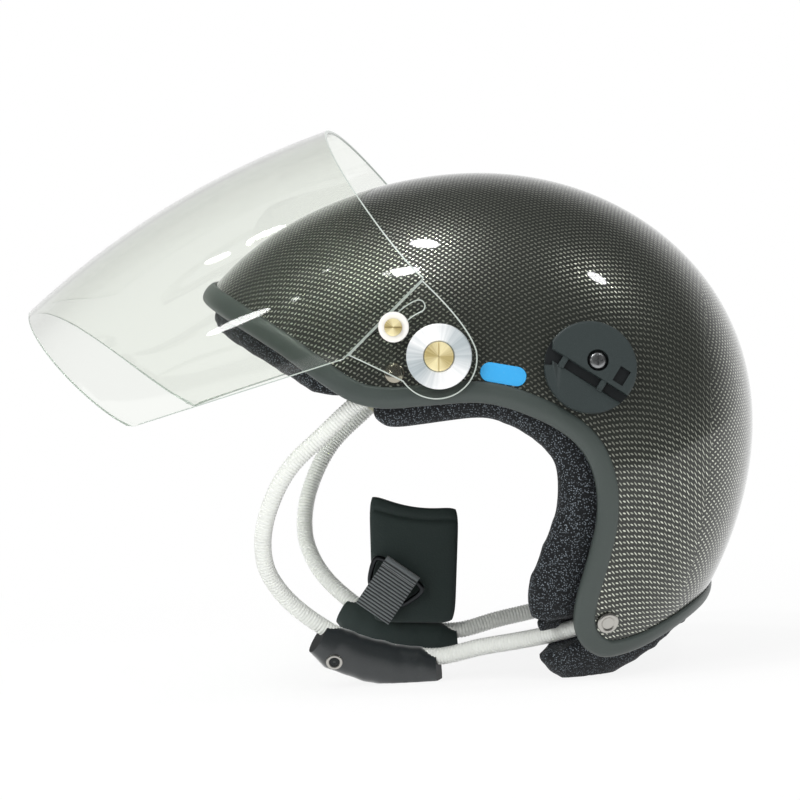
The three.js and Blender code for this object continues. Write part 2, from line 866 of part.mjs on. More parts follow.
function pivotDisc() {
  const shank = pivot_shank_diameter / 2 + gap;
  const head = pivot_head_diameter / 2 + gap;
  const r = pivot_disc_diameter / 2;
  const seat = disc_high - pivot_head_height / 2;
  return turned([
    [shank, disc_low], [r - slot_depth, disc_low], [r, disc_low + slot_depth],
    [r, disc_high - slot_depth], [r - slot_depth / 2, disc_high],
    [head, seat], [head, disc_low + 1.5 * slot_depth], [shank, disc_low + slot_depth],
    [shank, disc_low],
  ]);
}

function pivotScrew() {
  const seat = disc_high - pivot_head_height / 2;
  const low = disc_low + 1.5 * slot_depth + gap;
  return slottedHead(pivot_head_diameter / 2, low, seat + pivot_head_height / 2,
    pivot_shank_diameter / 2, nut_foot, Math.PI / 2);
}

function pivotMatrix(side) {
  return seatMatrix(new THREE.Vector3(), Y.clone().multiplyScalar(side), side);
}

function stopMatrix(side) {
  const angle = rad(stop_angle_deg);
  return pivotMatrix(side).multiply(new THREE.Matrix4().makeTranslation(
    -side * visor_slot_radius * Math.cos(angle), visor_slot_radius * Math.sin(angle), 0));
}

const washer_low = arm_outer + gap;
const washer_high = washer_low + stop_washer_thickness;
const stop_shell = shellHalfWidth(
  visor_slot_radius * Math.cos(rad(stop_angle_deg)),
  visor_slot_radius * Math.sin(rad(stop_angle_deg)), 0);

// Headset mount, drawn on the shell's outer face

function mountSeat(side) {
  return shellSeat(
    centre_x + mount_back_share * rear_reach, centre_z + mount_rise_share * crown_reach, side);
}

const plate_low = mount_base_height + gap;
const plate_high = plate_low + mount_thickness;

function mountPlate() {
  const r = mount_diameter / 2;
  const turn = rad(mount_band_angle_deg);
  const across = new THREE.Vector2(Math.sin(turn), -Math.cos(turn));
  const band = across.clone().multiplyScalar(mount_band_width);
  const crescent = across.clone().multiplyScalar(mount_band_width * 1.5 + r);
  const body = turned([
    [0, plate_low], [r - slot_depth, plate_low], [r, plate_low + slot_depth],
    [r, plate_high - slot_depth], [r - slot_depth, plate_high], [0, plate_high],
  ], 24);
  const catches = [-0.28, 0.2].map((share) => block(
    mount_catch_width, mount_catch_length, mount_band_depth,
    band.x + share * mount_diameter * Math.cos(turn),
    band.y + share * mount_diameter * Math.sin(turn),
    plate_high - mount_band_depth / 2 - mount_crescent_drop, turn));
  const screw = new THREE.Matrix4().makeTranslation(...mountScrewPlace(-1));
  return join(cut(
    body,
    block(4 * r, mount_band_width, 2 * mount_band_depth, band.x, band.y, plate_high, turn),
    block(4 * r, 2 * r, 2 * mount_crescent_drop, crescent.x, crescent.y, plate_high, turn),
    block(mount_window_width, mount_window_height, 2 * mount_band_depth,
      -r, mount_window_height / 2, plate_high),
    moved(disc(mount_bore_diameter / 2, plate_high - mount_bore_depth, plate_high + overrun), screw),
    moved(disc(mount_screw_shank / 2 + gap, -overrun, plate_high), screw),
  ), ...catches);
}

function mountScrewPlace(side) {
  return [-side * mount_screw_off * Math.SQRT1_2, mount_screw_off * Math.SQRT1_2, 0];
}

function mountScrew() {
  const seat = plate_high - mount_bore_depth + gap;
  const r = mount_head_diameter / 2;
  const foot = -shell_wall - pivot_nut_thickness;
  const body = turned([
    [0, foot], [mount_screw_shank / 2, foot], [mount_screw_shank / 2, seat], [r, seat],
    [r, seat + mount_head_height * 0.4], [r * 0.86, seat + mount_head_height * 0.78],
    [r * 0.5, seat + mount_head_height], [0, seat + mount_head_height],
  ], 12);
  const cross = seat + mount_head_height;
  return cut(body,
    block(r, slot_width, 2 * slot_depth, 0, 0, cross),
    block(slot_width, r, 2 * slot_depth, 0, 0, cross));
}

// Rivets, drawn on the shell's outer face

function rivetSeats(side) {
  return [[temple_rim_share, temple_margin], [lobe_rim_share, lobe_margin]].map(([share, margin]) => {
    const inward = trim_width / 2 + rivet_head_diameter / 2 + margin;
    const point = framePoint(rimFrame(share), -inward, 0);
    return shellSeat(point.x, point.z, side);
  });
}

function rivet(domed) {
  const r = rivet_head_diameter / 2;
  const shank = rivet_shank_diameter / 2;
  const under = -shell_wall - facet_sag - hoop_eye_thickness - gap;
  const tail = under - rivet_tail_height;
  const low = gap + slot_depth / 2;
  const top = low + rivet_head_height;
  const crown = domed
    ? [[r, low], [r, low + 0.3 * rivet_head_height], [0.8 * r, low + 0.75 * rivet_head_height],
      [0.4 * r, top], [0, top]]
    : [[r, low], [r * 0.9, low + 0.5 * rivet_head_height], [0.62 * r, low + 0.55 * rivet_head_height],
      [0.4 * r, low + 0.2 * rivet_head_height], [0, low + 0.2 * rivet_head_height]];
  return turned([
    [0, tail], [0.7 * r, tail], [0.7 * r, under], [shank, under], [shank, low], ...crown,
  ], 12);
}

// Assembly

const finish = {
  carbon: { color: 0x1b1c18, roughness: 0.15, metalness: 0.1 },
  trim: { color: 0x2c2e30, roughness: 0.6, metalness: 0 },
  foam: { color: 0x1d1d1f, roughness: 0.95, metalness: 0 },
  fabric: { color: 0x16181a, roughness: 0.95, metalness: 0 },
  clear: { color: 0xdfe8e0, roughness: 0.05, metalness: 0 },
  aluminium: { color: 0xc9cdd0, roughness: 0.3, metalness: 1 },
  brass: { color: 0xc9a94f, roughness: 0.3, metalness: 1 },
  chrome: { color: 0xd8d8d6, roughness: 0.12, metalness: 1 },
  steel: { color: 0xb8b8b4, roughness: 0.3, metalness: 1 },
  nylon: { color: 0xeceae8, roughness: 0.45, metalness: 0 },
  mount: { color: 0x2e3334, roughness: 0.55, metalness: 0 },
  sleeve: { color: 0xe8e8e6, roughness: 0.4, metalness: 0 },
  leather: { color: 0x1d2022, roughness: 0.4, metalness: 0 },
};

const helmet = new THREE.Group();
const design = new THREE.Group();
helmet.add(design);

function place(name, body, look, matrix = new THREE.Matrix4()) {
  const geometry = outward(geometryOf(body));
  geometry.computeVertexNormals();
  const mesh = new THREE.Mesh(geometry, new THREE.MeshStandardMaterial(finish[look]));
  mesh.name = name;
  mesh.applyMatrix4(matrix);
  design.add(mesh);
  return mesh;
}

// The ground plane in the design frame, from the lowest reach of covers and nape pad.
const rest_tilt = rad(rest_tilt_deg);

function groundTool(extra = 0) {
  const deep = half_width;
  const geometry = new THREE.BoxGeometry(6 * half_width, 4 * half_width, deep);
  geometry.translate(0, 0, -ground_drop - deep / 2 + extra);
  geometry.rotateY(-rest_tilt);
  return solid(geometry);
}

const sides = [[-1, 'left'], [1, 'right']];
const ground = groundTool(foot_flat);

const shell_holes = [];
const liner_holes = [];
const eye_rooms = [];
const eye_room_foot = -shell_wall - hoop_eye_thickness - hoop_sleeve_diameter;
for (const [side] of sides) {
  const pivot = pivotMatrix(side);
  const stop = stopMatrix(side);
  const long = half_width + overrun;
  const mount = mountSeat(side);
  const mountFrame = seatMatrix(mount.point, mount.normal, side);
  const screw = mountFrame.clone().multiply(
    new THREE.Matrix4().makeTranslation(...mountScrewPlace(side)));
  shell_holes.push(moved(disc(pivot_shank_diameter / 2 + gap, 0, long, 12), pivot));
  shell_holes.push(moved(disc(stop_shank_diameter / 2 + gap, half_width / 2, long, 8), stop));
  shell_holes.push(moved(disc(mount_screw_shank / 2 + gap, -overrun, overrun, 10), screw));
  liner_holes.push(moved(disc(pivot_nut_diameter / 2 + gap, nut_foot - 2 * gap, long, 12), pivot));
  liner_holes.push(moved(disc(pivot_nut_diameter / 2 + gap, nut_foot - 6 * gap, long, 10), stop));
  liner_holes.push(moved(disc(pivot_nut_diameter / 2 + gap,
    -shell_wall - pivot_nut_thickness - 2 * gap, overrun, 12), screw));
  for (const seat of rivetSeats(side)) {
    const frame = seatMatrix(seat.point, seat.normal, side);
    const bore = disc(rivet_shank_diameter / 2 + gap, -overrun / 4, overrun / 4, 10);
    shell_holes.push(moved(bore, frame));
    const room = hoop_eye_diameter + hoop_groove_clearance;
    eye_rooms.push(moved(disc(room, eye_room_foot, overrun / 4, 8), frame));
  }
}
const hoop_rooms = [...eye_rooms, ...sides.flatMap(([side]) => hoopGrooves(side))];

const shell = mainBody(cut(
  outer_skin, inner_skin, rimTool(shell_edge + trim_web), edgeBand(), ...shell_holes));
place('shell', shell, 'carbon');
place('edge_trim', rimLoop(trimSection()), 'trim');

const rolls = Object.entries(roll_settings).map(([name, settings]) => {
  const body = cut(roll(settings), ...hoop_rooms, ground);
  return [name, mainBody(body)];
});

const liner = cut(
  shellSkin(shell_wall + facet_sag, 24, 10),
  shellSkin(shell_wall + liner_thickness, 18, 8),
  rimTool(-pad_tuck - liner_setback),
  block(2 * rear_reach, 3 * half_width, overrun, rear_reach + overrun, 0, liner_foot - overrun / 2),
  ...liner_holes,
  ...hoop_rooms,
);
place('impact_liner', mainBody(liner), 'foam');
for (const [name, body] of rolls) place(name, body, 'fabric');

function crownPad() {
  const inset = shell_wall + liner_thickness + 2 * facet_sag + 2 * gap;
  const rows = 10;
  const columns = 8;
  const front = [];
  const back = [];
  for (let i = 0; i <= rows; i += 1) {
    front.push([]);
    back.push([]);
    for (let j = 0; j <= columns; j += 1) {
      const u = i / rows * 2 - 1;
      const v = j / columns * 2 - 1;
      const puff = ((1 - u ** 6) * (1 - v ** 6)) ** 0.5;
      const channel = i === rows / 2 || j === columns / 2 ? crown_pad_channel_share : 1;
      const angle = rad(crown_pad_middle_deg) + u * rad(crown_pad_long_deg);
      const tilt = Math.PI / 2 + v * rad(crown_pad_side_deg);
      const thick = crown_pad_thickness * (0.25 + 0.75 * puff * channel);
      front[i].push(shellPoint(angle, tilt, inset + thick));
      back[i].push(shellPoint(angle, tilt, inset + gap));
    }
  }
  return solid(slab(front, back));
}
place('crown_pad', crownPad(), 'fabric');

for (const [side, word] of sides) {
  const pivot = pivotMatrix(side);
  const stop = stopMatrix(side);
  const back_to_pivot = pivot.clone().invert();
  const spacer = cut(
    disc(pivot_spacer_diameter / 2, pivot_shell - pivot_nut_thickness, arm_inner - gap),
    disc(pivot_shank_diameter / 2 + gap, 0, half_width + overrun, 12),
    moved(outer_clear, back_to_pivot));
  place(`${word}_pivot_spacer`, spacer, 'nylon', pivot);
  place(`${word}_pivot_disc`, pivotDisc(), 'aluminium', pivot);
  place(`${word}_pivot_screw`, pivotScrew(), 'brass', pivot);
  const nut = cut(
    disc(pivot_nut_diameter / 2, nut_foot, pivot_shell, 6),
    disc(pivot_shank_diameter / 2 + gap, 0, half_width + overrun, 12)).intersect(
    moved(inner_clear, back_to_pivot));
  place(`${word}_pivot_nut`, nut, 'steel', pivot);

  const back_to_stop = stop.clone().invert();
  const post = cut(
    join(
      disc(stop_post_diameter / 2, stop_shell - pivot_nut_thickness, arm_inner - gap, 16),
      disc(visor_slot_width / 2 - gap, arm_inner - 2 * gap, washer_low - gap / 2, 16)),
    disc(stop_shank_diameter / 2 + gap, 0, half_width + overrun, 8),
    moved(outer_clear, back_to_stop));
  place(`${word}_stop_post`, post, 'nylon', stop);
  const washer = turned([
    [stop_shank_diameter / 2 + gap, washer_low], [stop_washer_diameter / 2, washer_low],
    [stop_washer_diameter / 2, washer_high - slot_depth / 2],
    [stop_washer_diameter / 2 - slot_depth / 2, washer_high],
    [stop_shank_diameter / 2 + gap, washer_high], [stop_shank_diameter / 2 + gap, washer_low],
  ], 16);
  place(`${word}_stop_washer`, washer, 'nylon', stop);
  place(`${word}_stop_screw`, slottedHead(stop_head_diameter / 2, washer_high + gap,
    washer_high + gap + stop_head_height, stop_shank_diameter / 2,
    stop_shell - shell_wall - 2 * gap, 0), 'brass', stop);

  const mount = mountSeat(side);
  const frame = seatMatrix(mount.point, mount.normal, side);
  const inverse = frame.clone().invert();
  const screwShift = new THREE.Matrix4().makeTranslation(...mountScrewPlace(side));
  const screwFrame = frame.clone().multiply(screwShift);
  const base = cut(
    disc(mount_diameter / 2 - mount_base_inset, -mount_thickness, mount_base_height, 20),
    moved(disc(mount_screw_shank / 2 + gap, -overrun, overrun, 10), screwShift),
    moved(outer_clear, inverse));
  place(`${word}_headset_base`, base, 'trim', frame);
  const flip = new THREE.Matrix4().makeScale(-side, 1, 1);
  place(`${word}_headset_plate`, moved(mountPlate(), flip), 'mount', frame);
  place(`${word}_headset_screw`, mountScrew(), 'steel', screwFrame);
  const mount_nut = cut(
    disc(pivot_nut_diameter / 2, -shell_wall - pivot_nut_thickness, 0, 6),
    disc(mount_screw_shank / 2 + gap, -overrun, overrun, 10)).intersect(
    moved(inner_clear, screwFrame.clone().invert()));
  place(`${word}_headset_nut`, mount_nut, 'steel', screwFrame);

  const [temple, lobe] = rivetSeats(side);
  const temple_frame = seatMatrix(temple.point, temple.normal, side);
  const lobe_frame = seatMatrix(lobe.point, lobe.normal, side);
  place(`${word}_temple_rivet`, rivet(true), 'chrome', temple_frame);
  place(`${word}_lobe_rivet`, rivet(false), 'chrome', lobe_frame);

  const eye_high = -shell_wall - facet_sag;
  const eye = disc(hoop_eye_diameter / 2, eye_high - hoop_eye_thickness, eye_high, 12);
  const bore = disc(rivet_shank_diameter / 2 + gap, -overrun / 4, overrun / 4, 8);
  const ends = [temple_frame, lobe_frame];
  const curve = hoopCurve(side);
  const links = [0, 1].map((end) => {
    const start = curve.getPointAt(end);
    const target = new THREE.Vector3(0, 0, eye_high - hoop_eye_thickness / 2)
      .applyMatrix4(ends[end]);
    const along = new THREE.Vector3().subVectors(target, start);
    const link = new THREE.CylinderGeometry(
      hoop_eye_thickness / 2, hoop_core_diameter / 2, along.length(), 6);
    link.translate(0, along.length() / 2, 0);
    link.applyQuaternion(new THREE.Quaternion().setFromUnitVectors(Y, along.clone().normalize()));
    link.translate(start.x, start.y, start.z);
    return solid(outward(link));
  });
  const rod = loft([0, ...hoopStations(), 1].map((share) => (
    roundRing(hoopFrame(curve, share, side), hoop_core_diameter / 2, 6))));
  const tail_room = disc(
    0.35 * rivet_head_diameter + gap, -overrun / 4, eye_high - hoop_eye_thickness, 10);
  const core = mainBody(cut(
    join(solid(rod), ...links, ...ends.map((end) => moved(eye, end))),
    ...ends.flatMap((end) => [moved(bore, end), moved(tail_room, end)])));
  place(`${word}_hoop_core`, core, 'steel');
  place(`${word}_hoop_sleeve`, hoopSleeve(side), 'sleeve');

  const rings = [];
  const stations = 9;
  for (let i = 0; i <= stations; i += 1) {
    const share = i / stations;
    const at = hoopFrame(curve, mix(cover_from_share, cover_to_share, share), side);
    const up = Z.clone().addScaledVector(at.along, -Z.dot(at.along)).normalize();
    const across = new THREE.Vector3().crossVectors(at.along, up);
    const end = Math.min(1, 0.72 + Math.min(share, 1 - share) * 2);
    const ring = [];
    for (let j = 0; j < 12; j += 1) {
      const turn = j / 12 * 2 * Math.PI;
      const c = Math.cos(turn);
      const s = Math.sin(turn);
      ring.push(at.point.clone()
        .addScaledVector(across, Math.sign(c) * Math.abs(c) ** 0.8 * cover_half_width * end)
        .addScaledVector(up, Math.sign(s) * Math.abs(s) ** 0.8 * cover_half_height * end - cover_drop));
    }
    rings.push(ring);
  }
  const cover = cut(
    solid(loft(rings)),
    hoopTube(side, hoop_sleeve_diameter / 2 + 2 * gap,
      cover_channel_from_share, cover_channel_to_share, 12),
    ground);
  place(`${word}_jaw_cover`, cover, 'leather');
}

// Throat flap on the right jaw cover

function throatPad(rows = 12, columns = 8) {
  const front = [];
  const back = [];
  for (let i = 0; i <= rows; i += 1) {
    front.push([]);
    back.push([]);
    for (let j = 0; j <= columns; j += 1) {
      const u = j / columns * 2 - 1;
      const v = i / rows * 2 - 1;
      const high = (v + 1) / 2;
      const x = throat_pad_back + u * throat_pad_width / 2 * (1 - 0.07 * v ** 8) * mix(0.92, 1, high);
      const drop = high * (throat_pad_sag * (1 - u * u) + throat_pad_slope * (u + 1) / 2);
      const z = throat_pad_foot + throat_pad_height * (0.5 + v / 2 * (1 - 0.05 * u ** 8)) - drop;
      const crown = 0.3 + 0.7 * Math.sqrt((1 - u ** 6) * (1 - v ** 6));
      const hem = i === rows - 2 ? 0.75 : 1;
      const half = throat_pad_thickness / 2 * crown * hem;
      front[i].push(new THREE.Vector3(x, throat_pad_off - half, z));
      back[i].push(new THREE.Vector3(x, throat_pad_off + half, z));
    }
  }
  return solid(slab(front, back));
}

// Webbing and ring are drawn with X along the fold, Y across the strap's thickness and
// Z up the strap, with zero at the bar of the ring.
function webbingSolid() {
  const eye = ring_wire / 2 + gap;
  const outer = eye + eye_wall;
  const half = webbing_thickness / 2;
  const neck = Math.asin(half / outer);
  const shape = new THREE.Shape();
  shape.moveTo(half, -webbing_length);
  shape.absarc(0, 0, outer, neck - Math.PI / 2 , 1.5 * Math.PI - neck, false);
  shape.lineTo(-half, -webbing_length);
  const hole = new THREE.Path();
  hole.absarc(0, 0, eye, 0, 2 * Math.PI, true);
  shape.holes.push(hole);
  const geometry = new THREE.ExtrudeGeometry(shape, {
    depth: webbing_width, bevelEnabled: false, curveSegments: 8,
  });
  geometry.translate(0, 0, -webbing_width / 2);
  geometry.applyMatrix4(new THREE.Matrix4().makeBasis(Y, Z, X));
  return solid(outward(geometry));
}

function ringSolid() {
  const half = webbing_width / 2 + ring_wire;
  const behind = webbing_thickness / 2 + gap + ring_wire / 2 + gap;
  const path = new THREE.CatmullRomCurve3([
    [-0.9, 0, 0], [0, 0, 0], [0.9, 0, 0], [1.12, -0.1, 0.15], [1, -0.55, 0.6], [0.7, -0.92, 1],
    [0, -1, 1], [-0.7, -0.92, 1], [-1, -0.55, 0.6], [-1.12, -0.1, 0.15],
  ].map(([x, z, y]) => new THREE.Vector3(x * half, y * behind, z * ring_depth)), true);
  const rings = [];
  const steps = 24;
  for (let i = 0; i < steps; i += 1) {
    const along = path.getTangentAt(i / steps);
    const out = Y.clone().addScaledVector(along, -Y.dot(along)).normalize();
    const open = new THREE.Vector3().crossVectors(along, out);
    rings.push(roundRing({ point: path.getPointAt(i / steps), out, open }, ring_wire / 2, 6));
  }
  return solid(loft(rings, true));
}

const strap_turn = rad(webbing_angle_deg - 90);
const strap_frame = new THREE.Matrix4().makeRotationY(-strap_turn)
  .setPosition(webbing_back, webbing_off, webbing_drop);
place('throat_pad', throatPad(), 'fabric');
place('chin_webbing', webbingSolid(), 'fabric', strap_frame);
place('chin_ring', ringSolid(), 'steel', strap_frame);

place('visor', visorSolid(), 'clear');

helmet.rotation.y = rest_tilt;
helmet.updateMatrixWorld(true);
const box = new THREE.Box3().setFromObject(helmet, true);
helmet.position.set(-(box.min.x + box.max.x) / 2, -(box.min.y + box.max.y) / 2, -box.min.z);
helmet.updateMatrixWorld(true);

export default helmet;
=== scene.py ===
"""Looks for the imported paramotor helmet: woven shell, clear visor, pads, jaw hoops and hardware."""

import bisect
import math

import bmesh
import bpy
import numpy as np
from mathutils import Matrix, Vector


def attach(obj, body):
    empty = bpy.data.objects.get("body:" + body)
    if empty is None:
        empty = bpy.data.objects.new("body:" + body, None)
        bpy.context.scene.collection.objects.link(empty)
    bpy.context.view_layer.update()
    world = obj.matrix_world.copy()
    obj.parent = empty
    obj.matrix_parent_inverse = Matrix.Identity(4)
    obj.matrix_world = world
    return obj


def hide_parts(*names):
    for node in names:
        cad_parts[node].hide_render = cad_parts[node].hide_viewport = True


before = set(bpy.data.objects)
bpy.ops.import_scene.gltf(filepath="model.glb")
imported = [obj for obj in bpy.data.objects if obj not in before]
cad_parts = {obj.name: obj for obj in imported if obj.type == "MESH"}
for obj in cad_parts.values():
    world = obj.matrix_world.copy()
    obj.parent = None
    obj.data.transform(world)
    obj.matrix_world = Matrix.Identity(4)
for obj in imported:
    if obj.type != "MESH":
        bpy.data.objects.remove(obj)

bl_info = {
    "name": "Paramotor helmet",
    "version": (1, 0, 0),
    "blender": (4, 5, 0),
    "location": "View3D > Sidebar > Helmet",
    "description": "Dresses the packed helmet with its woven shell, clear visor, pads and hardware",
    "category": "Mesh",
}

# The helmet is drawn in millimetres round the visor pivot axis: +X is the back of the head,
# -Y the wearer's left and +Z up. It then tilts back to stand on its nape pad and jaw covers.
REST_TILT = math.radians(3.75)
PIVOT = Vector((0.0343022, 0.0, 0.1595))
MM = 0.001
DESIGN = Matrix.Translation(PIVOT) @ Matrix.Rotation(REST_TILT, 4, "Y") @ Matrix.Scale(MM, 4)

# Shell form.
HALF_WIDTH = 112.0
REAR_REACH = 136.5
CROWN_REACH = 124.4
BROW_REACH = 155.0
NAPE_REACH = 150.0
WALL = 3.0
CENTRE_X = 10.0
CENTRE_Z = -38.0
SIDE_POWER_TOP = 2.6
SIDE_POWER_FOOT = 4.0
WIDTH_POWER_TOP = 2.0
WIDTH_POWER_FOOT = 3.4

# The cut edge in the side view, from the brow round the ear to the nape, as shares of the rear
# and crown reaches.
RIM_SHARES = (
    (-1.15, 0.6), (-0.985, 0.528), (-0.829, 0.455), (-0.633, 0.342), (-0.445, 0.208),
    (-0.356, 0.158), (-0.261, 0.142), (-0.131, 0.153), (0.04, 0.167), (0.15, 0.151),
    (0.262, 0.108), (0.352, 0.058), (0.426, -0.008), (0.474, -0.09), (0.5, -0.194),
    (0.501, -0.317), (0.48, -0.43), (0.455, -0.528), (0.431, -0.62), (0.42, -0.708),
    (0.434, -0.768), (0.463, -0.802), (0.506, -0.818), (0.6, -0.793), (0.7, -0.738),
    (0.8, -0.672), (0.97, -0.575),
)

# Under the shell's wall: the liner's gap and depth, and the crown pad's clearance and thickness.
LINER_GAP = 1.3
LINER_DEPTH = 17.0
LINER_EDGE_MARGIN = 11.0
CROWN_PAD_CLEARANCE = 3.2
CROWN_PAD_WALL = 9.0

# The pads along the edge: clearance under the wall, half the thickness, how far they start
# behind the edge, and how far past it a flare starts and how long that takes.
ROLL_CLEARANCE = 3.6
ROLL_HALF_WALL = 9.0
ROLL_BEHIND_EDGE = 9.0
FLARE_START = 4.5
FLARE_RUN = 9.0
SQUARED = 0.8  # exponent that squares off the sections of the rolls and covers

# Visor form.
VISOR_WALL = 2.0
VISOR_STAND_OFF = 3.2
VISOR_HEIGHT = 174.0
VISOR_FRONT = 124.5
VISOR_BULGE = 9.0
VISOR_LOWER_HALF_WIDTH = 100.0
VISOR_LEAN = math.radians(31)
VISOR_SWING = math.radians(35)
VISOR_EDGE_CUT = 0.6
# The panel's side edge: up and out, as shares of its height and front.
VISOR_EDGE = {"foot": (-0.83, 0.37), "heel": (-0.228, 0.175), "crest": (0.074, 0.283)}
PIVOT_HOLE = 3.3
ARM_RADIUS = 19.4
ARM_MIDDLE = Vector((-1.5, -1.0))
SLOT_RADIUS = 25.5
SLOT_WIDTH = 5.2
STOP_ANGLE = math.radians(147.6)
ARM_INNER = HALF_WIDTH + VISOR_STAND_OFF
ARM_OUTER = ARM_INNER + VISOR_WALL

# Where the fastenings and the size patch sit on the shell, as seen from the side.
TEMPLE = (-21.8, -8.6)
LOBE = (78.4, -126.9)
MOUNT = (69.5, -6.5)
PATCH_AT = Vector((29.6, -8.7))
RIVET_GRIP = WALL + 4.0

# Headset mounts: the plate's radius and its under and outer face, the turn of its band, the
# band's middle, and how far the screw sits from the centre.
MOUNT_RADIUS = 22.0
MOUNT_LOW = 2.9
MOUNT_HIGH = 7.9
MOUNT_TURN = math.radians(-30)
MOUNT_ACROSS = Vector((math.sin(MOUNT_TURN), -math.cos(MOUNT_TURN)))
MOUNT_BAND = MOUNT_ACROSS * 5.0
MOUNT_SCREW_OFF = 4.4

# Jaw hoop route on the left, as shares of the shell's reaches.
HOOP_SHARES = (
    (-0.3, -0.885, 0.165), (-0.378, -0.866, 0.112), (-0.486, -0.86, 0.002),
    (-0.61, -0.86, -0.133), (-0.676, -0.84, -0.264), (-0.71, -0.805, -0.397),
    (-0.708, -0.75, -0.518), (-0.674, -0.685, -0.608), (-0.613, -0.62, -0.693),
    (-0.505, -0.555, -0.786), (-0.415, -0.52, -0.835), (-0.3, -0.505, -0.872),
    (-0.2, -0.503, -0.889), (-0.1, -0.515, -0.889), (0.04, -0.555, -0.848),
    (0.17, -0.61, -0.817), (0.29, -0.675, -0.784), (0.4, -0.735, -0.745), (0.455, -0.76, -0.72),
)
SLEEVE_RADIUS = 4.2
CUFF_RADIUS = 4.55

# Jaw covers: where they start and end on the route, and their section round it.
COVER_FROM = 0.522
COVER_TO = 0.716
COVER_HALF_WIDTH = 8.5
COVER_HALF_HEIGHT = 10.5
COVER_DROP = 6.2

# The near cover's eyelet: its place along and round the cover, its radius and its wire's.
EYELET_SHARE = 0.17
EYELET_TURN = math.radians(-32)
EYELET_RADIUS = 3.3
EYELET_WIRE = 0.8

# Throat flap, and the strap that is folded over its ring's bar.
FLAP_OFF = 48.1
FLAP_MIDDLE = -26.5
FLAP_HALF_WIDTH = 23
FLAP_FOOT = -144
FLAP_HEIGHT = 66
FLAP_HALF_WALL = 3.5
FLAP_SAG = 3.5
FLAP_FALL = 6
STRAP = Matrix.Translation((-32.5, 39.2, -117)) @ Matrix.Rotation(math.radians(34), 4, "Y")
STRAP_DROP = 26.0

# Stage.
FLOOR_REACH = 40.0
FLOOR_DROP = 0.0004  # keeps the floor clear of what stands on it
LAMPS_AIM = Vector((0, 0, 0.12))
LAMPS = (  # name, place, size, watts, and whether the helmet mirrors it
    ("crown_lamp", (-0.23, -0.13, 1.75), (0.26, 0.13), 3.0, True),
    ("rear_lamp", (0.96, -0.22, 1.5), (0.16, 0.15), 1.6, True),
    ("front_lamp", (-0.34, -0.56, 1.5), (0.2, 0.13), 3.6, True),
    ("spark_lamp", (-0.73, -0.08, 1.6), (0.05, 0.05), 0.4, True),
    ("visor_lamp", (-1.07, -0.35, 1.68), (0.12, 0.06), 0.6, True),
    ("side_lamp", (-0.87, -1.55, 0.87), (0.14, 0.14), 0.8, True),
    ("left_fill", (-0.9, -1.6, 0.9), (0.7, 0.7), 8.0, False),
    ("right_fill", (0.9, -1.5, 0.8), (0.7, 0.7), 4.0, False),
)

SIDES = ((-1, "left"), (1, "right"))


def mix(a, b, t):
    return a + (b - a) * t


def ease(t):
    return t * t * (3 - 2 * t)


def clamp(value, low=0.0, high=1.0):
    return max(low, min(high, value))


def power(value, exponent):
    """A signed power, which squares off a circle's sine and cosine."""
    return math.copysign(abs(value) ** exponent, value)


def turns(count):
    """Even angles once round."""
    return [2 * math.pi * i / count for i in range(count)]


def square_to(along, direction):
    """A direction, tipped the least way that makes it square to a run."""
    return (direction - along * direction.dot(along)).normalized()


def linear(colour):
    """An sRGB hex colour as linear, opaque RGBA."""
    channels = [(colour >> shift & 255) / 255 for shift in (16, 8, 0)]
    return tuple(
        c / 12.92 if c <= 0.04045 else ((c + 0.055) / 1.055) ** 2.4 for c in channels
    ) + (1.0,)


# Sizes and colours that a user would change


class HelmetSizes(bpy.types.PropertyGroup):
    tow_width: bpy.props.FloatProperty(
        name="Tow width", description="Width of one carbon tow along the helmet",
        default=0.00175, unit="LENGTH")
    tow_height: bpy.props.FloatProperty(
        name="Tow height", description="Height of one carbon tow up the helmet's side",
        default=0.0014, unit="LENGTH")
    rib_pitch: bpy.props.FloatProperty(
        name="Rib pitch", description="Distance from rib to rib along the jaw sleeves",
        default=0.0016, unit="LENGTH")
    rib_depth: bpy.props.FloatProperty(
        name="Rib depth", description="Depth of the grooves in the jaw sleeves",
        default=0.00028, unit="LENGTH")
    pad_swell: bpy.props.FloatProperty(
        name="Pad swell", description="Most that a pad's cover may swell when it is filled",
        default=0.003, unit="LENGTH")
    pad_voxel: bpy.props.FloatProperty(
        name="Pad voxel", description="Mesh size of the pads when they are filled",
        default=0.005, unit="LENGTH")
    patch_length: bpy.props.FloatProperty(
        name="Patch length", description="Length of the blue size patch",
        default=0.022, unit="LENGTH")
    patch_height: bpy.props.FloatProperty(
        name="Patch height", description="Height of the blue size patch",
        default=0.0092, unit="LENGTH")


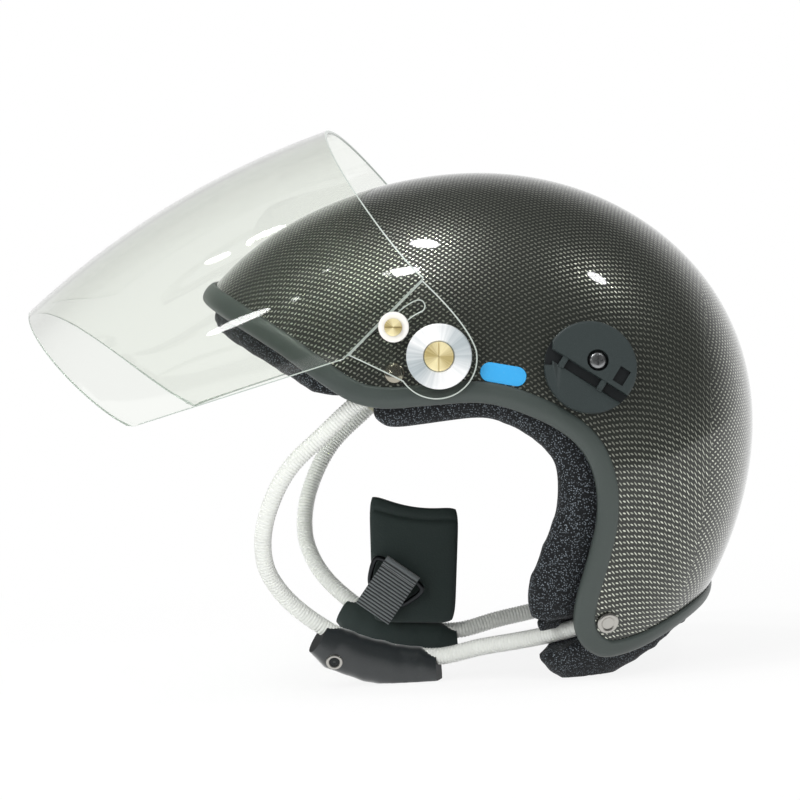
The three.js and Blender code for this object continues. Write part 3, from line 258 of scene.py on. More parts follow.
class HelmetColours(bpy.types.PropertyGroup):
    carbon: bpy.props.FloatVectorProperty(
        name="Carbon", description="Shaded side of the carbon tows",
        default=linear(0x151A12), size=4, subtype="COLOR")
    carbon_sheen: bpy.props.FloatVectorProperty(
        name="Carbon sheen", description="Lit side of the carbon tows",
        default=linear(0xEEF2E2), size=4, subtype="COLOR")
    rubber: bpy.props.FloatVectorProperty(
        name="Rubber", description="Edge trim", default=linear(0x414946), size=4, subtype="COLOR")
    mesh_cloth: bpy.props.FloatVectorProperty(
        name="Mesh cloth", description="Cover of the comfort pads",
        default=linear(0x101316), size=4, subtype="COLOR")
    leather: bpy.props.FloatVectorProperty(
        name="Leather", description="Jaw covers", default=linear(0x222729), size=4, subtype="COLOR")
    webbing: bpy.props.FloatVectorProperty(
        name="Webbing", description="Chin strap, between its shiny ribs",
        default=linear(0x101213), size=4, subtype="COLOR")
    sleeve: bpy.props.FloatVectorProperty(
        name="Sleeve", description="Ribbed jaw sleeves", default=linear(0xE5E7E2), size=4,
        subtype="COLOR")
    mount: bpy.props.FloatVectorProperty(
        name="Mount", description="Headset mount plates", default=linear(0x2F3838), size=4,
        subtype="COLOR")
    patch: bpy.props.FloatVectorProperty(
        name="Patch", description="Bare size patch", default=linear(0x3AA5E3), size=4,
        subtype="COLOR")
    floor: bpy.props.FloatVectorProperty(
        name="Floor", description="Studio floor", default=linear(0xFAFAFA), size=4,
        subtype="COLOR")


# Shell surface


def shell_outline(angle):
    """Reach and squareness of the shell in a direction of the side view."""
    cosine, sine = np.cos(angle), np.sin(angle)
    back, top = ease(0.5 + 0.5 * cosine), ease(0.5 + 0.5 * sine)
    across = mix(BROW_REACH**-2, REAR_REACH**-2, back)
    upright = mix(NAPE_REACH**-2, CROWN_REACH**-2, top)
    reach = 1 / np.sqrt(cosine**2 * across + sine**2 * upright)
    return (reach, mix(SIDE_POWER_FOOT, SIDE_POWER_TOP, top),
            mix(WIDTH_POWER_FOOT, WIDTH_POWER_TOP, top))


def shell_level(x, y, z, inset):
    """1 on the shell's surface, less inside it."""
    reach, side_power, width_power = shell_outline(np.arctan2(z - CENTRE_Z, x - CENTRE_X))
    fill = np.hypot(x - CENTRE_X, z - CENTRE_Z) / (reach - inset)
    return fill**side_power + (np.abs(y) / (HALF_WIDTH - inset))**width_power


def shell_half_width(x, z, inset):
    reach, side_power, width_power = shell_outline(math.atan2(z - CENTRE_Z, x - CENTRE_X))
    fill = min(1.0, math.hypot(x - CENTRE_X, z - CENTRE_Z) / (reach - inset))
    return float((HALF_WIDTH - inset) * (1 - fill**side_power)**(1 / width_power))


def shell_normal(point, inset=0.0):
    step = 0.05
    slope = []
    for axis in range(3):
        ahead, behind = list(point), list(point)
        ahead[axis] += step
        behind[axis] -= step
        slope.append(float(shell_level(*ahead, inset) - shell_level(*behind, inset)))
    return Vector(slope).normalized()


def shell_point(angle, tilt, inset):
    reach, side_power, width_power = shell_outline(angle)
    fill = math.sin(tilt)**(2 / side_power) * (reach - inset)
    across = -power(math.cos(tilt), 2 / width_power)
    return Vector((CENTRE_X + fill * math.cos(angle), across * (HALF_WIDTH - inset),
                   CENTRE_Z + fill * math.sin(angle)))


def shell_seat(x, z, side):
    point = Vector((x, side * shell_half_width(x, z, 0), z))
    return point, shell_normal(point)


def meet_shell(origins, directions, inset, far=320.0, halvings=44):
    """Where rays from inside the shell meet its surface."""
    low, high = np.zeros(len(origins)), np.full(len(origins), far)
    for _ in range(halvings):
        middle = (low + high) / 2
        points = origins + directions * middle[:, None]
        inside = shell_level(points[:, 0], points[:, 1], points[:, 2], inset) < 1
        low, high = np.where(inside, middle, low), np.where(inside, high, middle)
    return origins + directions * low[:, None]


def seat_matrix(point, normal, side):
    """The frame of a piece that stands on the shell, +Z outward."""
    up = (normal.cross(Vector((1, 0, 0))) * -side).normalized()
    along = up.cross(normal).normalized()
    matrix = Matrix((along, up, normal)).transposed().to_4x4()
    matrix.translation = point
    return matrix


# Curves


class Route:
    """A dense run of points that can be read by its share of the length."""

    def __init__(self, points, closed=False):
        self.closed = closed
        self.points = points + [points[0]] if closed else points
        self.lengths = [0.0]
        for a, b in zip(self.points, self.points[1:]):
            self.lengths.append(self.lengths[-1] + (b - a).length)
        self.length = self.lengths[-1]

    def point(self, share):
        share = share % 1 if self.closed else clamp(share)
        target = share * self.length
        i = min(len(self.points) - 2, max(0, bisect.bisect_right(self.lengths, target) - 1))
        part = (target - self.lengths[i]) / (self.lengths[i + 1] - self.lengths[i])
        return self.points[i].lerp(self.points[i + 1], part)

    def along(self, share, reach=0.003):
        ahead, behind = share + reach, share - reach
        if not self.closed:
            ahead, behind = min(1, ahead), max(0, behind)
        return (self.point(ahead) - self.point(behind)).normalized()


def spline_point(points, place):
    """A point on an even Catmull-Rom spline."""
    at = (len(points) - 1) * place
    i = min(len(points) - 1, int(at))
    t = at - i
    last = len(points) - 1
    p0, p1 = points[max(0, i - 1)], points[i]
    p2, p3 = points[min(last, i + 1)], points[min(last, i + 2)]
    v0, v1 = (p2 - p0) * 0.5, (p3 - p1) * 0.5
    return ((2 * p1 - 2 * p2 + v0 + v1) * t**3 + (-3 * p1 + 3 * p2 - 2 * v0 - v1) * t**2
            + v0 * t + p1)


def smooth_route(points, count=500):
    """A centripetal Catmull-Rom curve through the points."""
    padded = [2 * points[0] - points[1]] + points + [2 * points[-1] - points[-2]]
    dense = []
    for n in range(count + 1):
        at = (len(points) - 1) * n / count
        i = min(len(points) - 2, int(at))
        t = at - i
        p0, p1, p2, p3 = padded[i:i + 4]
        d0, d1, d2 = (max(1e-4, (b - a).length**0.5) for a, b in ((p0, p1), (p1, p2), (p2, p3)))
        t1 = ((p1 - p0) / d0 - (p2 - p0) / (d0 + d1) + (p2 - p1) / d1) * d1
        t2 = ((p2 - p1) / d1 - (p3 - p1) / (d1 + d2) + (p3 - p2) / d2) * d1
        dense.append(p1 + t1 * t + (-3 * p1 + 3 * p2 - 2 * t1 - t2) * t**2
                     + (2 * p1 - 2 * p2 + t1 + t2) * t**3)
    return Route(dense)


def rim_route(steps=160):
    """The cut edge of the shell: share 0 is the brow, 0.5 the nape, and the left side is first."""
    stops = [Vector((CENTRE_X + x * REAR_REACH, CENTRE_Z + z * CROWN_REACH))
             for x, z in RIM_SHARES]

    def crossing(inside, outside):
        for _ in range(40):
            middle = (inside + outside) / 2
            flat = spline_point(stops, middle)
            reach = shell_outline(math.atan2(flat.y - CENTRE_Z, flat.x - CENTRE_X))[0]
            fill = math.hypot(flat.x - CENTRE_X, flat.y - CENTRE_Z) / (reach - WALL / 2)
            inside, outside = (middle, outside) if fill < 1 else (inside, middle)
        return inside

    start, end = crossing(0.1, 0.0), crossing(0.9, 1.0)
    left = []
    for i in range(steps + 1):
        place = mix(start, end, (1 - math.cos(math.pi * i / steps)) / 2)
        flat = spline_point(stops, place)
        width = 0.0 if i % steps == 0 else shell_half_width(flat.x, flat.y, WALL / 2)
        left.append(Vector((flat.x, -width, flat.y)))
    right = [Vector((p.x, -p.y, p.z)) for p in left[-2:0:-1]]
    return Route(left + right, closed=True)


RIM = rim_route()


def rim_frame(share):
    point, along = RIM.point(share), RIM.along(share)
    out = square_to(along, shell_normal(point, WALL / 2))
    return point, out, along.cross(out).normalized()


def hoop_route(side):
    return smooth_route([Vector((CENTRE_X + x * REAR_REACH, -side * y * HALF_WIDTH,
                                 CENTRE_Z + z * CROWN_REACH)) for x, y, z in HOOP_SHARES])


def hoop_frame(route, share, side):
    point, along = route.point(share), route.along(share)
    out = square_to(along, Vector((0, side, 0)))
    return point, out, along.cross(out).normalized()


def cover_frame(route, share):
    """A place along a jaw cover: the route's point, and the directions along, across and up."""
    at = mix(COVER_FROM, COVER_TO, share)
    point, along = route.point(at), route.along(at)
    up = square_to(along, Vector((0, 0, 1)))
    return point, along, along.cross(up), up


# Meshes


def loft(rings, closed=False, capped=True):
    """Rings of equal count joined one to the next."""
    count = len(rings[0])
    points = [p for ring in rings for p in ring]
    faces = []
    spans = len(rings) if closed else len(rings) - 1
    for i in range(spans):
        here, after = i * count, (i + 1) % len(rings) * count
        for j in range(count):
            k = (j + 1) % count
            faces.append((here + j, here + k, after + k, after + j))
    if capped and not closed:
        faces.append(tuple(reversed(range(count))))
        faces.append(tuple(range(len(points) - count, len(points))))
    return points, faces


def slab(front, back):
    """A sheet given by two grids of points, stitched along its border."""
    rows, columns = len(front), len(front[0])
    points = [p for row in front for p in row] + [p for row in back for p in row]
    behind = rows * columns
    faces = []
    for i in range(rows - 1):
        for j in range(columns - 1):
            a = i * columns + j
            b = a + columns
            faces.append((a, b, b + 1, a + 1))
            faces.append((behind + a, behind + a + 1, behind + b + 1, behind + b))
    border = list(range(columns - 1))
    border += [i * columns + columns - 1 for i in range(rows - 1)]
    border += [(rows - 1) * columns + j for j in range(columns - 1, 0, -1)]
    border += [i * columns for i in range(rows - 1, 0, -1)]
    for a, b in zip(border, border[1:] + border[:1]):
        faces.append((a, b, behind + b, behind + a))
    return points, faces


def sheet(rows, columns, faces):
    """A slab from a function that gives the front and back point of each place in a grid."""
    grid = [[faces(i, j) for j in range(columns + 1)] for i in range(rows + 1)]
    return slab(*([[pair[face] for pair in row] for row in grid] for face in (0, 1)))


def tube_ring(point, beyond, out, radius, sides):
    return [point + beyond * (radius * math.cos(turn)) + out * (radius * math.sin(turn))
            for turn in turns(sides)]


def lathe(profile, segments):
    """A revolved form about +Z, from radius and height pairs."""
    rings = [[Vector((radius * math.cos(turn), radius * math.sin(turn), height))
              for turn in turns(segments)] for radius, height in profile]
    return loft(rings, capped=profile[0][0] > 0 and profile[-1][0] > 0)


def block(width, depth, height, at, turn=0.0):
    matrix = Matrix.Translation(Vector(at)) @ Matrix.Rotation(turn, 4, "Z")
    corners = [matrix @ Vector((x * width / 2, y * depth / 2, z * height / 2))
               for z in (-1, 1) for x, y in ((-1, -1), (1, -1), (1, 1), (-1, 1))]
    return loft([corners[:4], corners[4:]])


def plate(outline, holes, low, high):
    """A flat plate with straight sides along +Y, from outlines of the side view."""
    work = bmesh.new()
    edges = []
    for loop in [outline, *holes]:
        verts = [work.verts.new((x, low, z)) for x, z in loop]
        edges += [work.edges.new(pair) for pair in zip(verts, verts[1:] + verts[:1])]
    filled = bmesh.ops.triangle_fill(work, use_beauty=True, use_dissolve=False, edges=edges)
    faces = [f for f in filled["geom"] if isinstance(f, bmesh.types.BMFace)]
    grown = bmesh.ops.extrude_face_region(work, geom=faces, use_keep_orig=True)
    bmesh.ops.translate(work, vec=(0, high - low, 0),
                        verts=[v for v in grown["geom"] if isinstance(v, bmesh.types.BMVert)])
    work.verts.index_update()
    points = [v.co.copy() for v in work.verts]
    result = [tuple(v.index for v in f.verts) for f in work.faces]
    work.free()
    return points, result


def raw_object(name, form, matrix=None):
    points, faces = form
    place = DESIGN @ matrix if matrix else DESIGN
    mesh = bpy.data.meshes.new(name)
    mesh.from_pydata([place @ p for p in points], [], faces)
    thing = bpy.data.objects.new(name, mesh)
    bpy.context.scene.collection.objects.link(thing)
    tidy_mesh(thing)
    return thing


def tidy_mesh(thing):
    work = bmesh.new()
    work.from_mesh(thing.data)
    bmesh.ops.remove_doubles(work, verts=work.verts, dist=2e-6)
    bmesh.ops.recalc_face_normals(work, faces=work.faces)
    work.to_mesh(thing.data)
    work.free()


def shade(thing, sharp_deg):
    """Smooth shading with sharp edges past an angle."""
    work = bmesh.new()
    work.from_mesh(thing.data)
    for face in work.faces:
        face.smooth = True
    for edge in work.edges:
        edge.smooth = not (edge.is_manifold
                           and edge.calc_face_angle(0.0) > math.radians(sharp_deg))
    work.to_mesh(thing.data)
    work.free()


def apply_modifiers(thing):
    depsgraph = bpy.context.evaluated_depsgraph_get()
    mesh = bpy.data.meshes.new_from_object(thing.evaluated_get(depsgraph))
    old = thing.data
    thing.modifiers.clear()
    thing.data = mesh
    bpy.data.meshes.remove(old)


def combine(thing, tools, operation="DIFFERENCE"):
    """Cuts or joins the tools one by one, which are removed afterwards."""
    for tool in tools:
        before = len(thing.data.polygons)
        modifier = thing.modifiers.new("combine", "BOOLEAN")
        modifier.operation = operation
        modifier.solver = "EXACT"
        modifier.object = tool
        apply_modifiers(thing)
        bpy.data.objects.remove(tool)
        if len(thing.data.polygons) < before / 2:
            raise RuntimeError(f"{thing.name} fell apart in a {operation}")


def soften(thing, width, segments=2, angle_deg=40, finish=-1, clamped=True):
    """Bevels the edges past an angle; the bevel can take a finish of its own."""
    modifier = thing.modifiers.new("soften", "BEVEL")
    modifier.width = width * MM
    modifier.segments = segments
    modifier.limit_method = "ANGLE"
    modifier.angle_limit = math.radians(angle_deg)
    modifier.material = finish
    modifier.use_clamp_overlap = clamped
    apply_modifiers(thing)


def dress(thing, material, body, hides=(), sharp_deg=38):
    """Gives a piece its finish, its shading, the body that it rides on and the nodes it shows."""
    if not thing.data.polygons:
        raise RuntimeError(f"{thing.name} has no faces")
    thing.data.materials.clear()
    thing.data.materials.append(material)
    shade(thing, sharp_deg)
    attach(thing, body)
    if hides:
        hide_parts(*hides)
    return thing


def make(name, form, material, body, hides=(), matrix=None, sharp_deg=38):
    return dress(raw_object(name, form, matrix), material, body, hides, sharp_deg)


def fill_pad(thing, swell, voxel, frames=20):
    """Remeshes a pad, blows it up a little as cloth, and caps how far any point moves."""
    modifier = thing.modifiers.new("remesh", "REMESH")
    modifier.mode = "VOXEL"
    modifier.voxel_size = voxel
    apply_modifiers(thing)
    scene = bpy.context.scene
    start = np.empty(len(thing.data.vertices) * 3)
    thing.data.vertices.foreach_get("co", start)
    cloth = thing.modifiers.new("air", "CLOTH")
    cloth.settings.use_pressure = True
    cloth.settings.uniform_pressure_force = 4
    cloth.settings.quality = 4
    cloth.settings.effector_weights.gravity = 0
    cloth.point_cache.frame_start = 1
    cloth.point_cache.frame_end = frames
    for step in range(1, frames + 1):
        scene.frame_set(step)
    apply_modifiers(thing)
    scene.frame_set(1)
    end = np.empty(len(start))
    thing.data.vertices.foreach_get("co", end)
    moves = (end - start).reshape(-1, 3)
    lengths = np.linalg.norm(moves, axis=1)
    moves *= np.minimum(1, swell / np.maximum(lengths, 1e-9))[:, None]
    thing.data.vertices.foreach_set("co", (start.reshape(-1, 3) + moves).ravel())
    smoother = thing.modifiers.new("smooth", "SMOOTH")
    smoother.iterations = 2
    smoother.factor = 0.4
    divided = thing.modifiers.new("divide", "SUBSURF")
    divided.levels = 1
    divided.render_levels = 1
    apply_modifiers(thing)
    rest_on_floor(thing)


def make_way(thing, radius=4.9, shoulder=2.5, rise=12.0):
    """Presses a pad in where a jaw sleeve lies against its outer face."""
    back = DESIGN.inverted()
    for side, _ in SIDES:
        route = hoop_route(side)
        last = 400
        centres = np.array([route.point(i / last) for i in range(last + 1)])
        for vertex in thing.data.vertices:
            p = back @ vertex.co
            if p.y * side < 0:
                continue
            gaps = np.linalg.norm(centres - np.array(p), axis=1)
            nearest = int(gaps.argmin())
            if gaps[nearest] > radius + rise or not 0 < nearest < last:
                continue
            point, out, beyond = hoop_frame(route, nearest / last, side)
            aside, depth = abs((p - point).dot(beyond)), (p - point).dot(out)
            if aside < radius:
                limit = -math.sqrt(radius**2 - aside**2)
            else:
                limit = rise * ((aside - radius) / shoulder)**2
            if depth > limit:
                vertex.co = DESIGN @ (p + out * (limit - depth))


def rest_on_floor(thing):
    for vertex in thing.data.vertices:
        vertex.co.z = max(vertex.co.z, 0.0)


# Materials


def add_node(tree, kind, inputs=None, **settings):
    """Adds a node, sets it, and links or sets its inputs."""
    node = tree.nodes.new(kind)
    for key, value in settings.items():
        setattr(node, key, value)
    for key, value in (inputs or {}).items():
        if isinstance(value, bpy.types.NodeSocket):
            tree.links.new(value, node.inputs[key])
        else:
            node.inputs[key].default_value = value
    return node


def new_material(name, **values):
    material = bpy.data.materials.new(name)
    material.use_nodes = True
    tree = material.node_tree
    shader = tree.nodes["Principled BSDF"]
    for key, value in values.items():
        shader.inputs[key.title()].default_value = value
    return material, tree, shader


FIBRE_SCALE = 900.0  # per metre: streaks of 1.1 mm, because single fibres are too fine to show
GLINT_HALF_LENGTH, GLINT_HALF_HEIGHT = 0.46, 0.36  # shares of a tow


def woven_carbon(sizes, colours):
    """Plain-weave carbon fibre under a polished clear coat: each tow that lies on top shows as a
    short slanted glint, in staggered rows, bright where it mirrors the floor, on a near-black
    ground."""
    material, tree, shader = new_material("clear-coated woven carbon fibre")
    shader.inputs["Coat Weight"].default_value = 1.0
    shader.inputs["Coat Roughness"].default_value = 0.04
    shader.inputs["Coat IOR"].default_value = 1.4
    uv = add_node(tree, "ShaderNodeUVMap", uv_map="Weave").outputs[0]
    parts = add_node(tree, "ShaderNodeSeparateXYZ", {0: uv}).outputs
    numbers, offsets = [], []
    for part, size in ((parts[0], sizes.tow_width), (parts[1], sizes.tow_height)):
        tows = add_node(tree, "ShaderNodeMath", {0: part, 1: size}, operation="DIVIDE").outputs[0]
        number = add_node(tree, "ShaderNodeMath", {0: tows}, operation="FLOOR").outputs[0]
        inside = add_node(tree, "ShaderNodeMath", {0: tows, 1: number},
                          operation="SUBTRACT").outputs[0]
        offsets.append(add_node(tree, "ShaderNodeMath", {0: inside, 1: 0.5},
                                operation="SUBTRACT").outputs[0])
        numbers.append(number)
    (column, row), (aside, above) = numbers, offsets
    crossing = add_node(tree, "ShaderNodeMath", {0: column, 1: row}, operation="ADD").outputs[0]
    odd = []
    for number in (crossing, column):
        left = add_node(tree, "ShaderNodeMath", {0: number, 1: 2.0}, operation="MODULO").outputs[0]
        odd.append(add_node(tree, "ShaderNodeMath", {0: left}, operation="ABSOLUTE").outputs[0])
    weft_on_top, odd_column = odd
    slope = add_node(tree, "ShaderNodeMath", {0: odd_column, 1: 0.5},
                     operation="SUBTRACT").outputs[0]
    slant = add_node(tree, "ShaderNodeMath", {0: aside, 1: slope}, operation="MULTIPLY").outputs[0]
    off_line = add_node(tree, "ShaderNodeMath", {0: above, 1: slant},
                        operation="SUBTRACT").outputs[0]
    squares = []
    for offset, half in ((aside, GLINT_HALF_LENGTH), (off_line, GLINT_HALF_HEIGHT)):
        share = add_node(tree, "ShaderNodeMath", {0: offset, 1: half},
                         operation="DIVIDE").outputs[0]
        squares.append(add_node(tree, "ShaderNodeMath", {0: share, 1: share},
                                operation="MULTIPLY").outputs[0])
    distance = add_node(tree, "ShaderNodeMath", {0: squares[0], 1: squares[1]},
                        operation="ADD").outputs[0]
    stroke = add_node(tree, "ShaderNodeMapRange", {0: distance, 1: 1.0, 2: 0.3}).outputs[0]
    shown = add_node(tree, "ShaderNodeMath", {0: stroke, 1: weft_on_top},
                     operation="MULTIPLY").outputs[0]
    cell = add_node(tree, "ShaderNodeCombineXYZ", {0: column, 1: row}).outputs[0]
    chance = add_node(tree, "ShaderNodeTexWhiteNoise", {0: cell},
                      noise_dimensions="2D").outputs[0]
    strength = add_node(tree, "ShaderNodeMath", {0: chance, 1: 0.4, 2: 0.6},
                        operation="MULTIPLY_ADD").outputs[0]
    glint = add_node(tree, "ShaderNodeMath", {0: shown, 1: strength},
                     operation="MULTIPLY").outputs[0]
    fibres = add_node(tree, "ShaderNodeTexNoise",
                      {0: uv, "Scale": FIBRE_SCALE, "Detail": 2.0}).outputs[0]
    level = add_node(tree, "ShaderNodeMath", {0: fibres, 1: 0.012, 2: glint},
                     operation="MULTIPLY_ADD").outputs[0]
    colour = add_node(tree, "ShaderNodeMix", {0: level, 6: colours.carbon, 7: colours.carbon_sheen},
                      data_type="RGBA").outputs[2]
    tree.links.new(colour, shader.inputs["Base Color"])
    bare = add_node(tree, "ShaderNodeMath", {0: glint, 1: 4.0}, operation="MULTIPLY",
                    use_clamp=True).outputs[0]
    tree.links.new(bare, shader.inputs["Metallic"])
    dull = add_node(tree, "ShaderNodeMath", {0: glint, 1: -0.27, 2: 0.52},
                    operation="MULTIPLY_ADD").outputs[0]
    tree.links.new(dull, shader.inputs["Roughness"])
    return material


def speckled(name, colour, light, scale_mm, share, roughness, bump_mm, sheen=0.0, metallic=0.0):
    """A ground colour with lighter specks and a bump of the same grain. The real grain of moulded,
    extruded and turned faces is finer, and is drawn as coarse as it needs to show."""
    material, tree, shader = new_material(name, roughness=roughness, metallic=metallic)
    if sheen:
        shader.inputs["Sheen Weight"].default_value = sheen
        shader.inputs["Sheen Roughness"].default_value = 0.4
    where = add_node(tree, "ShaderNodeTexCoord").outputs["Object"]
    grain = add_node(tree, "ShaderNodeTexVoronoi",
                     {"Vector": where, "Scale": 1 / (scale_mm * MM)}).outputs["Distance"]
    broad = add_node(tree, "ShaderNodeTexNoise",
                     {"Vector": where, "Scale": 0.25 / (scale_mm * MM), "Detail": 3.0}).outputs[0]
    spots = add_node(tree, "ShaderNodeMapRange",
                     {0: grain, 1: 0.42, 2: 0.1, 3: 0.0, 4: share}).outputs[0]
    amount = add_node(tree, "ShaderNodeMath", {0: spots, 1: broad},
                      operation="MULTIPLY").outputs[0]
    tint = add_node(tree, "ShaderNodeMix", {0: amount, 6: colour, 7: light},
                    data_type="RGBA").outputs[2]
    tree.links.new(tint, shader.inputs["Base Color"])
    height = add_node(tree, "ShaderNodeBump", {"Height": grain, "Strength": 0.6,
                                               "Distance": bump_mm * MM}).outputs[0]
    tree.links.new(height, shader.inputs["Normal"])
    return material


def moulded_rubber(colours):
    """Extruded black rubber: a dull dark grey with a soft broad shine."""
    return speckled("extruded rubber", colours.rubber, linear(0x525A56), 1.2, 0.25, 0.42, 0.02)


def brushed_mesh(colours):
    """Brushed spacer mesh: black knitted cloth, with the small light specks that its loops catch
    painted into the colour as lighter specks.
    """
    return speckled("brushed knitted mesh", colours.mesh_cloth, linear(0xA8B4BE), 0.9, 1.0,
                    0.85, 0.3, sheen=0.1)


def pressed_foam():
    """Moulded EPS foam, painted black: fine round beads, quite dull."""
    return speckled("black moulded EPS foam", linear(0x1C1C1E), linear(0x3A3A3D), 3.0, 0.5,
                    0.9, 0.2)


def grained_leather(colours):
    """Embossed, lacquered black leather: faint grain with a broad soft shine."""
    material = speckled("embossed leather", colours.leather, linear(0x4A5052), 1.0, 0.2, 0.32, 0.03,
                        sheen=0.35)
    shader = material.node_tree.nodes["Principled BSDF"]
    shader.inputs["Specular IOR Level"].default_value = 0.6
    shader.inputs["Coat Weight"].default_value = 0.5
    shader.inputs["Coat Roughness"].default_value = 0.34
    shader.inputs["Coat IOR"].default_value = 1.5
    return material


def neoprene_cloth():
    """Laminated black jersey over foam: smooth, matt, faint wear."""
    return speckled("jersey-faced neoprene", linear(0x273230), linear(0x434D4B), 0.9, 0.25,
                    0.8, 0.08, sheen=0.15)


def moulded_mount(colours):
    """Injection-moulded nylon with a spark-eroded grain: dark grey-green and satin."""
    return speckled("spark-grained moulded nylon", colours.mount, linear(0x545B5C), 0.6, 0.3,
                    0.5, 0.03)


def ribbed_polymer(colours):
    """Extruded white polymer sleeve: bright, waxy, a little light goes in."""
    material = speckled("extruded white polymer", colours.sleeve, linear(0xE9EAE6), 2.0, 0.4,
                        0.3, 0.01)
    shader = material.node_tree.nodes["Principled BSDF"]
    shader.inputs["Subsurface Weight"].default_value = 0.15
    shader.inputs["Subsurface Radius"].default_value = (0.002, 0.002, 0.0018)
    return material


def aged_polymer():
    """Clear tubing gone yellow with age: smooth and waxy."""
    return speckled("yellowed clear tubing", linear(0xCFCDB4), linear(0xA9A88C), 4.0, 0.6,
                    0.3, 0.01)


def painted_shade_finish():
    """Painted shade: a nearly black finish for faces that little light gets to, deep in the moulded
    plates, at the covers' ends and in the lacing hole."""
    return speckled("moulded nylon in shade", linear(0x14181A), linear(0x22282A), 0.6, 0.3,
                    0.6, 0.03)


def cast_nylon():
    """Turned white nylon: satin, slightly warm."""
    return speckled("turned white nylon", linear(0xEFEDE8), linear(0xD9D6CE), 0.8, 0.3, 0.4, 0.01)


def turned_metal(name, bright, dull, metallic, roughness, rings_across, anisotropic, turn_deg):
    """Metal faced on a lathe: fine rings that spread light into a fan with two bright wings and thin
    rays. The fan is also painted into the colour: painted highlight in the wings and rays, painted
    shade between them. The rings are counted over the piece's width."""
    material, tree, shader = new_material(name, roughness=roughness, metallic=metallic)
    shader.inputs["Anisotropic"].default_value = anisotropic
    tangent = add_node(tree, "ShaderNodeTangent", direction_type="RADIAL", axis="Y").outputs[0]
    tree.links.new(tangent, shader.inputs["Tangent"])
    where = add_node(tree, "ShaderNodeTexCoord").outputs["Generated"]
    centred = add_node(tree, "ShaderNodeVectorMath", {0: where, 1: (0.5, 0.5, 0.5)},
                       operation="SUBTRACT").outputs[0]
    flat = add_node(tree, "ShaderNodeVectorMath", {0: centred, 1: (1.0, 0.0, 1.0)},
                    operation="MULTIPLY").outputs[0]
    parts = add_node(tree, "ShaderNodeSeparateXYZ", {0: flat}).outputs
    angle = add_node(tree, "ShaderNodeMath", {0: parts[2], 1: parts[0]},
                     operation="ARCTAN2").outputs[0]
    doubled = add_node(tree, "ShaderNodeMath", {0: angle, 1: 2.0, 2: -2 * math.radians(turn_deg)},
                       operation="MULTIPLY_ADD").outputs[0]
    wings = add_node(tree, "ShaderNodeMath", {0: doubled}, operation="COSINE").outputs[0]
    rays = add_node(tree, "ShaderNodeTexNoise", {"W": angle, "Scale": 6.0, "Detail": 4.0},
                    noise_dimensions="1D").outputs[0]
    fan = add_node(tree, "ShaderNodeMath", {0: rays, 1: 1.5, 2: wings},
                   operation="MULTIPLY_ADD").outputs[0]
    share = add_node(tree, "ShaderNodeMapRange", {0: fan, 1: -0.4, 2: 1.6}).outputs[0]
    # Painted fan: the bright colour is painted highlight, the dull colour painted shade between the
    # wings.
    tint = add_node(tree, "ShaderNodeMix", {0: share, 6: linear(dull), 7: linear(bright)},
                    data_type="RGBA").outputs[2]
    tree.links.new(tint, shader.inputs["Base Color"])
    radius = add_node(tree, "ShaderNodeVectorMath", {0: flat}, operation="LENGTH").outputs[1]
    rings = add_node(tree, "ShaderNodeTexNoise",
                     {"W": radius, "Scale": rings_across, "Detail": 2.0},
                     noise_dimensions="1D").outputs[0]
    height = add_node(tree, "ShaderNodeBump", {"Height": rings, "Strength": 0.35,
                                               "Distance": 0.00005}).outputs[0]
    tree.links.new(height, shader.inputs["Normal"])
    return material


SCUFF_SCALE = 700.0  # per metre: scuffs of 1.4 mm


def plated_metal(name, hex_colour, roughness):
    """Plated or blackened steel: a plain bright or dark face with faint scuffs."""
    material, tree, shader = new_material(name, metallic=1.0)
    shader.inputs["Base Color"].default_value = linear(hex_colour)
    where = add_node(tree, "ShaderNodeTexCoord").outputs["Object"]
    scuffs = add_node(tree, "ShaderNodeTexNoise",
                      {"Vector": where, "Scale": SCUFF_SCALE, "Detail": 4.0}).outputs[0]
    dull = add_node(tree, "ShaderNodeMapRange",
                    {0: scuffs, 3: roughness, 4: roughness + 0.16}).outputs[0]
    tree.links.new(dull, shader.inputs["Roughness"])
    return material


def clear_polycarbonate():
    """Injection-moulded clear polycarbonate: glassy with a faint green tint. Lamps pass it, so
    that what lies behind is lit."""
    material, tree, shader = new_material("moulded clear polycarbonate", roughness=0.0)
    shader.inputs["Base Color"].default_value = linear(0xF8FAF6)
    shader.inputs["IOR"].default_value = 1.45
    shader.inputs["Transmission Weight"].default_value = 1.0
    path = add_node(tree, "ShaderNodeLightPath")
    window = add_node(tree, "ShaderNodeBsdfTransparent", {0: linear(0xF0F4EF)}).outputs[0]
    both = add_node(tree, "ShaderNodeMixShader",
                    {0: path.outputs["Is Shadow Ray"], 1: shader.outputs[0], 2: window})
    tree.links.new(both.outputs[0], tree.nodes["Material Output"].inputs["Surface"])
    return material


def polycarbonate_edge():
    """The trimmed edge of the visor, with the light that it gathers painted in as an opaque pale
    colour: a painted highlight, a pale line on what is dark, a grey one on white."""
    return speckled("trimmed polycarbonate edge", linear(0xC2CBC4), linear(0xE9EEEA), 1.5, 0.5,
                    0.2, 0.01)


WEBBING_PITCH = 1.678 * MM
WAVE_TURNS = 20 / (2 * math.pi)  # bands of the wave pattern per unit at a scale of 1


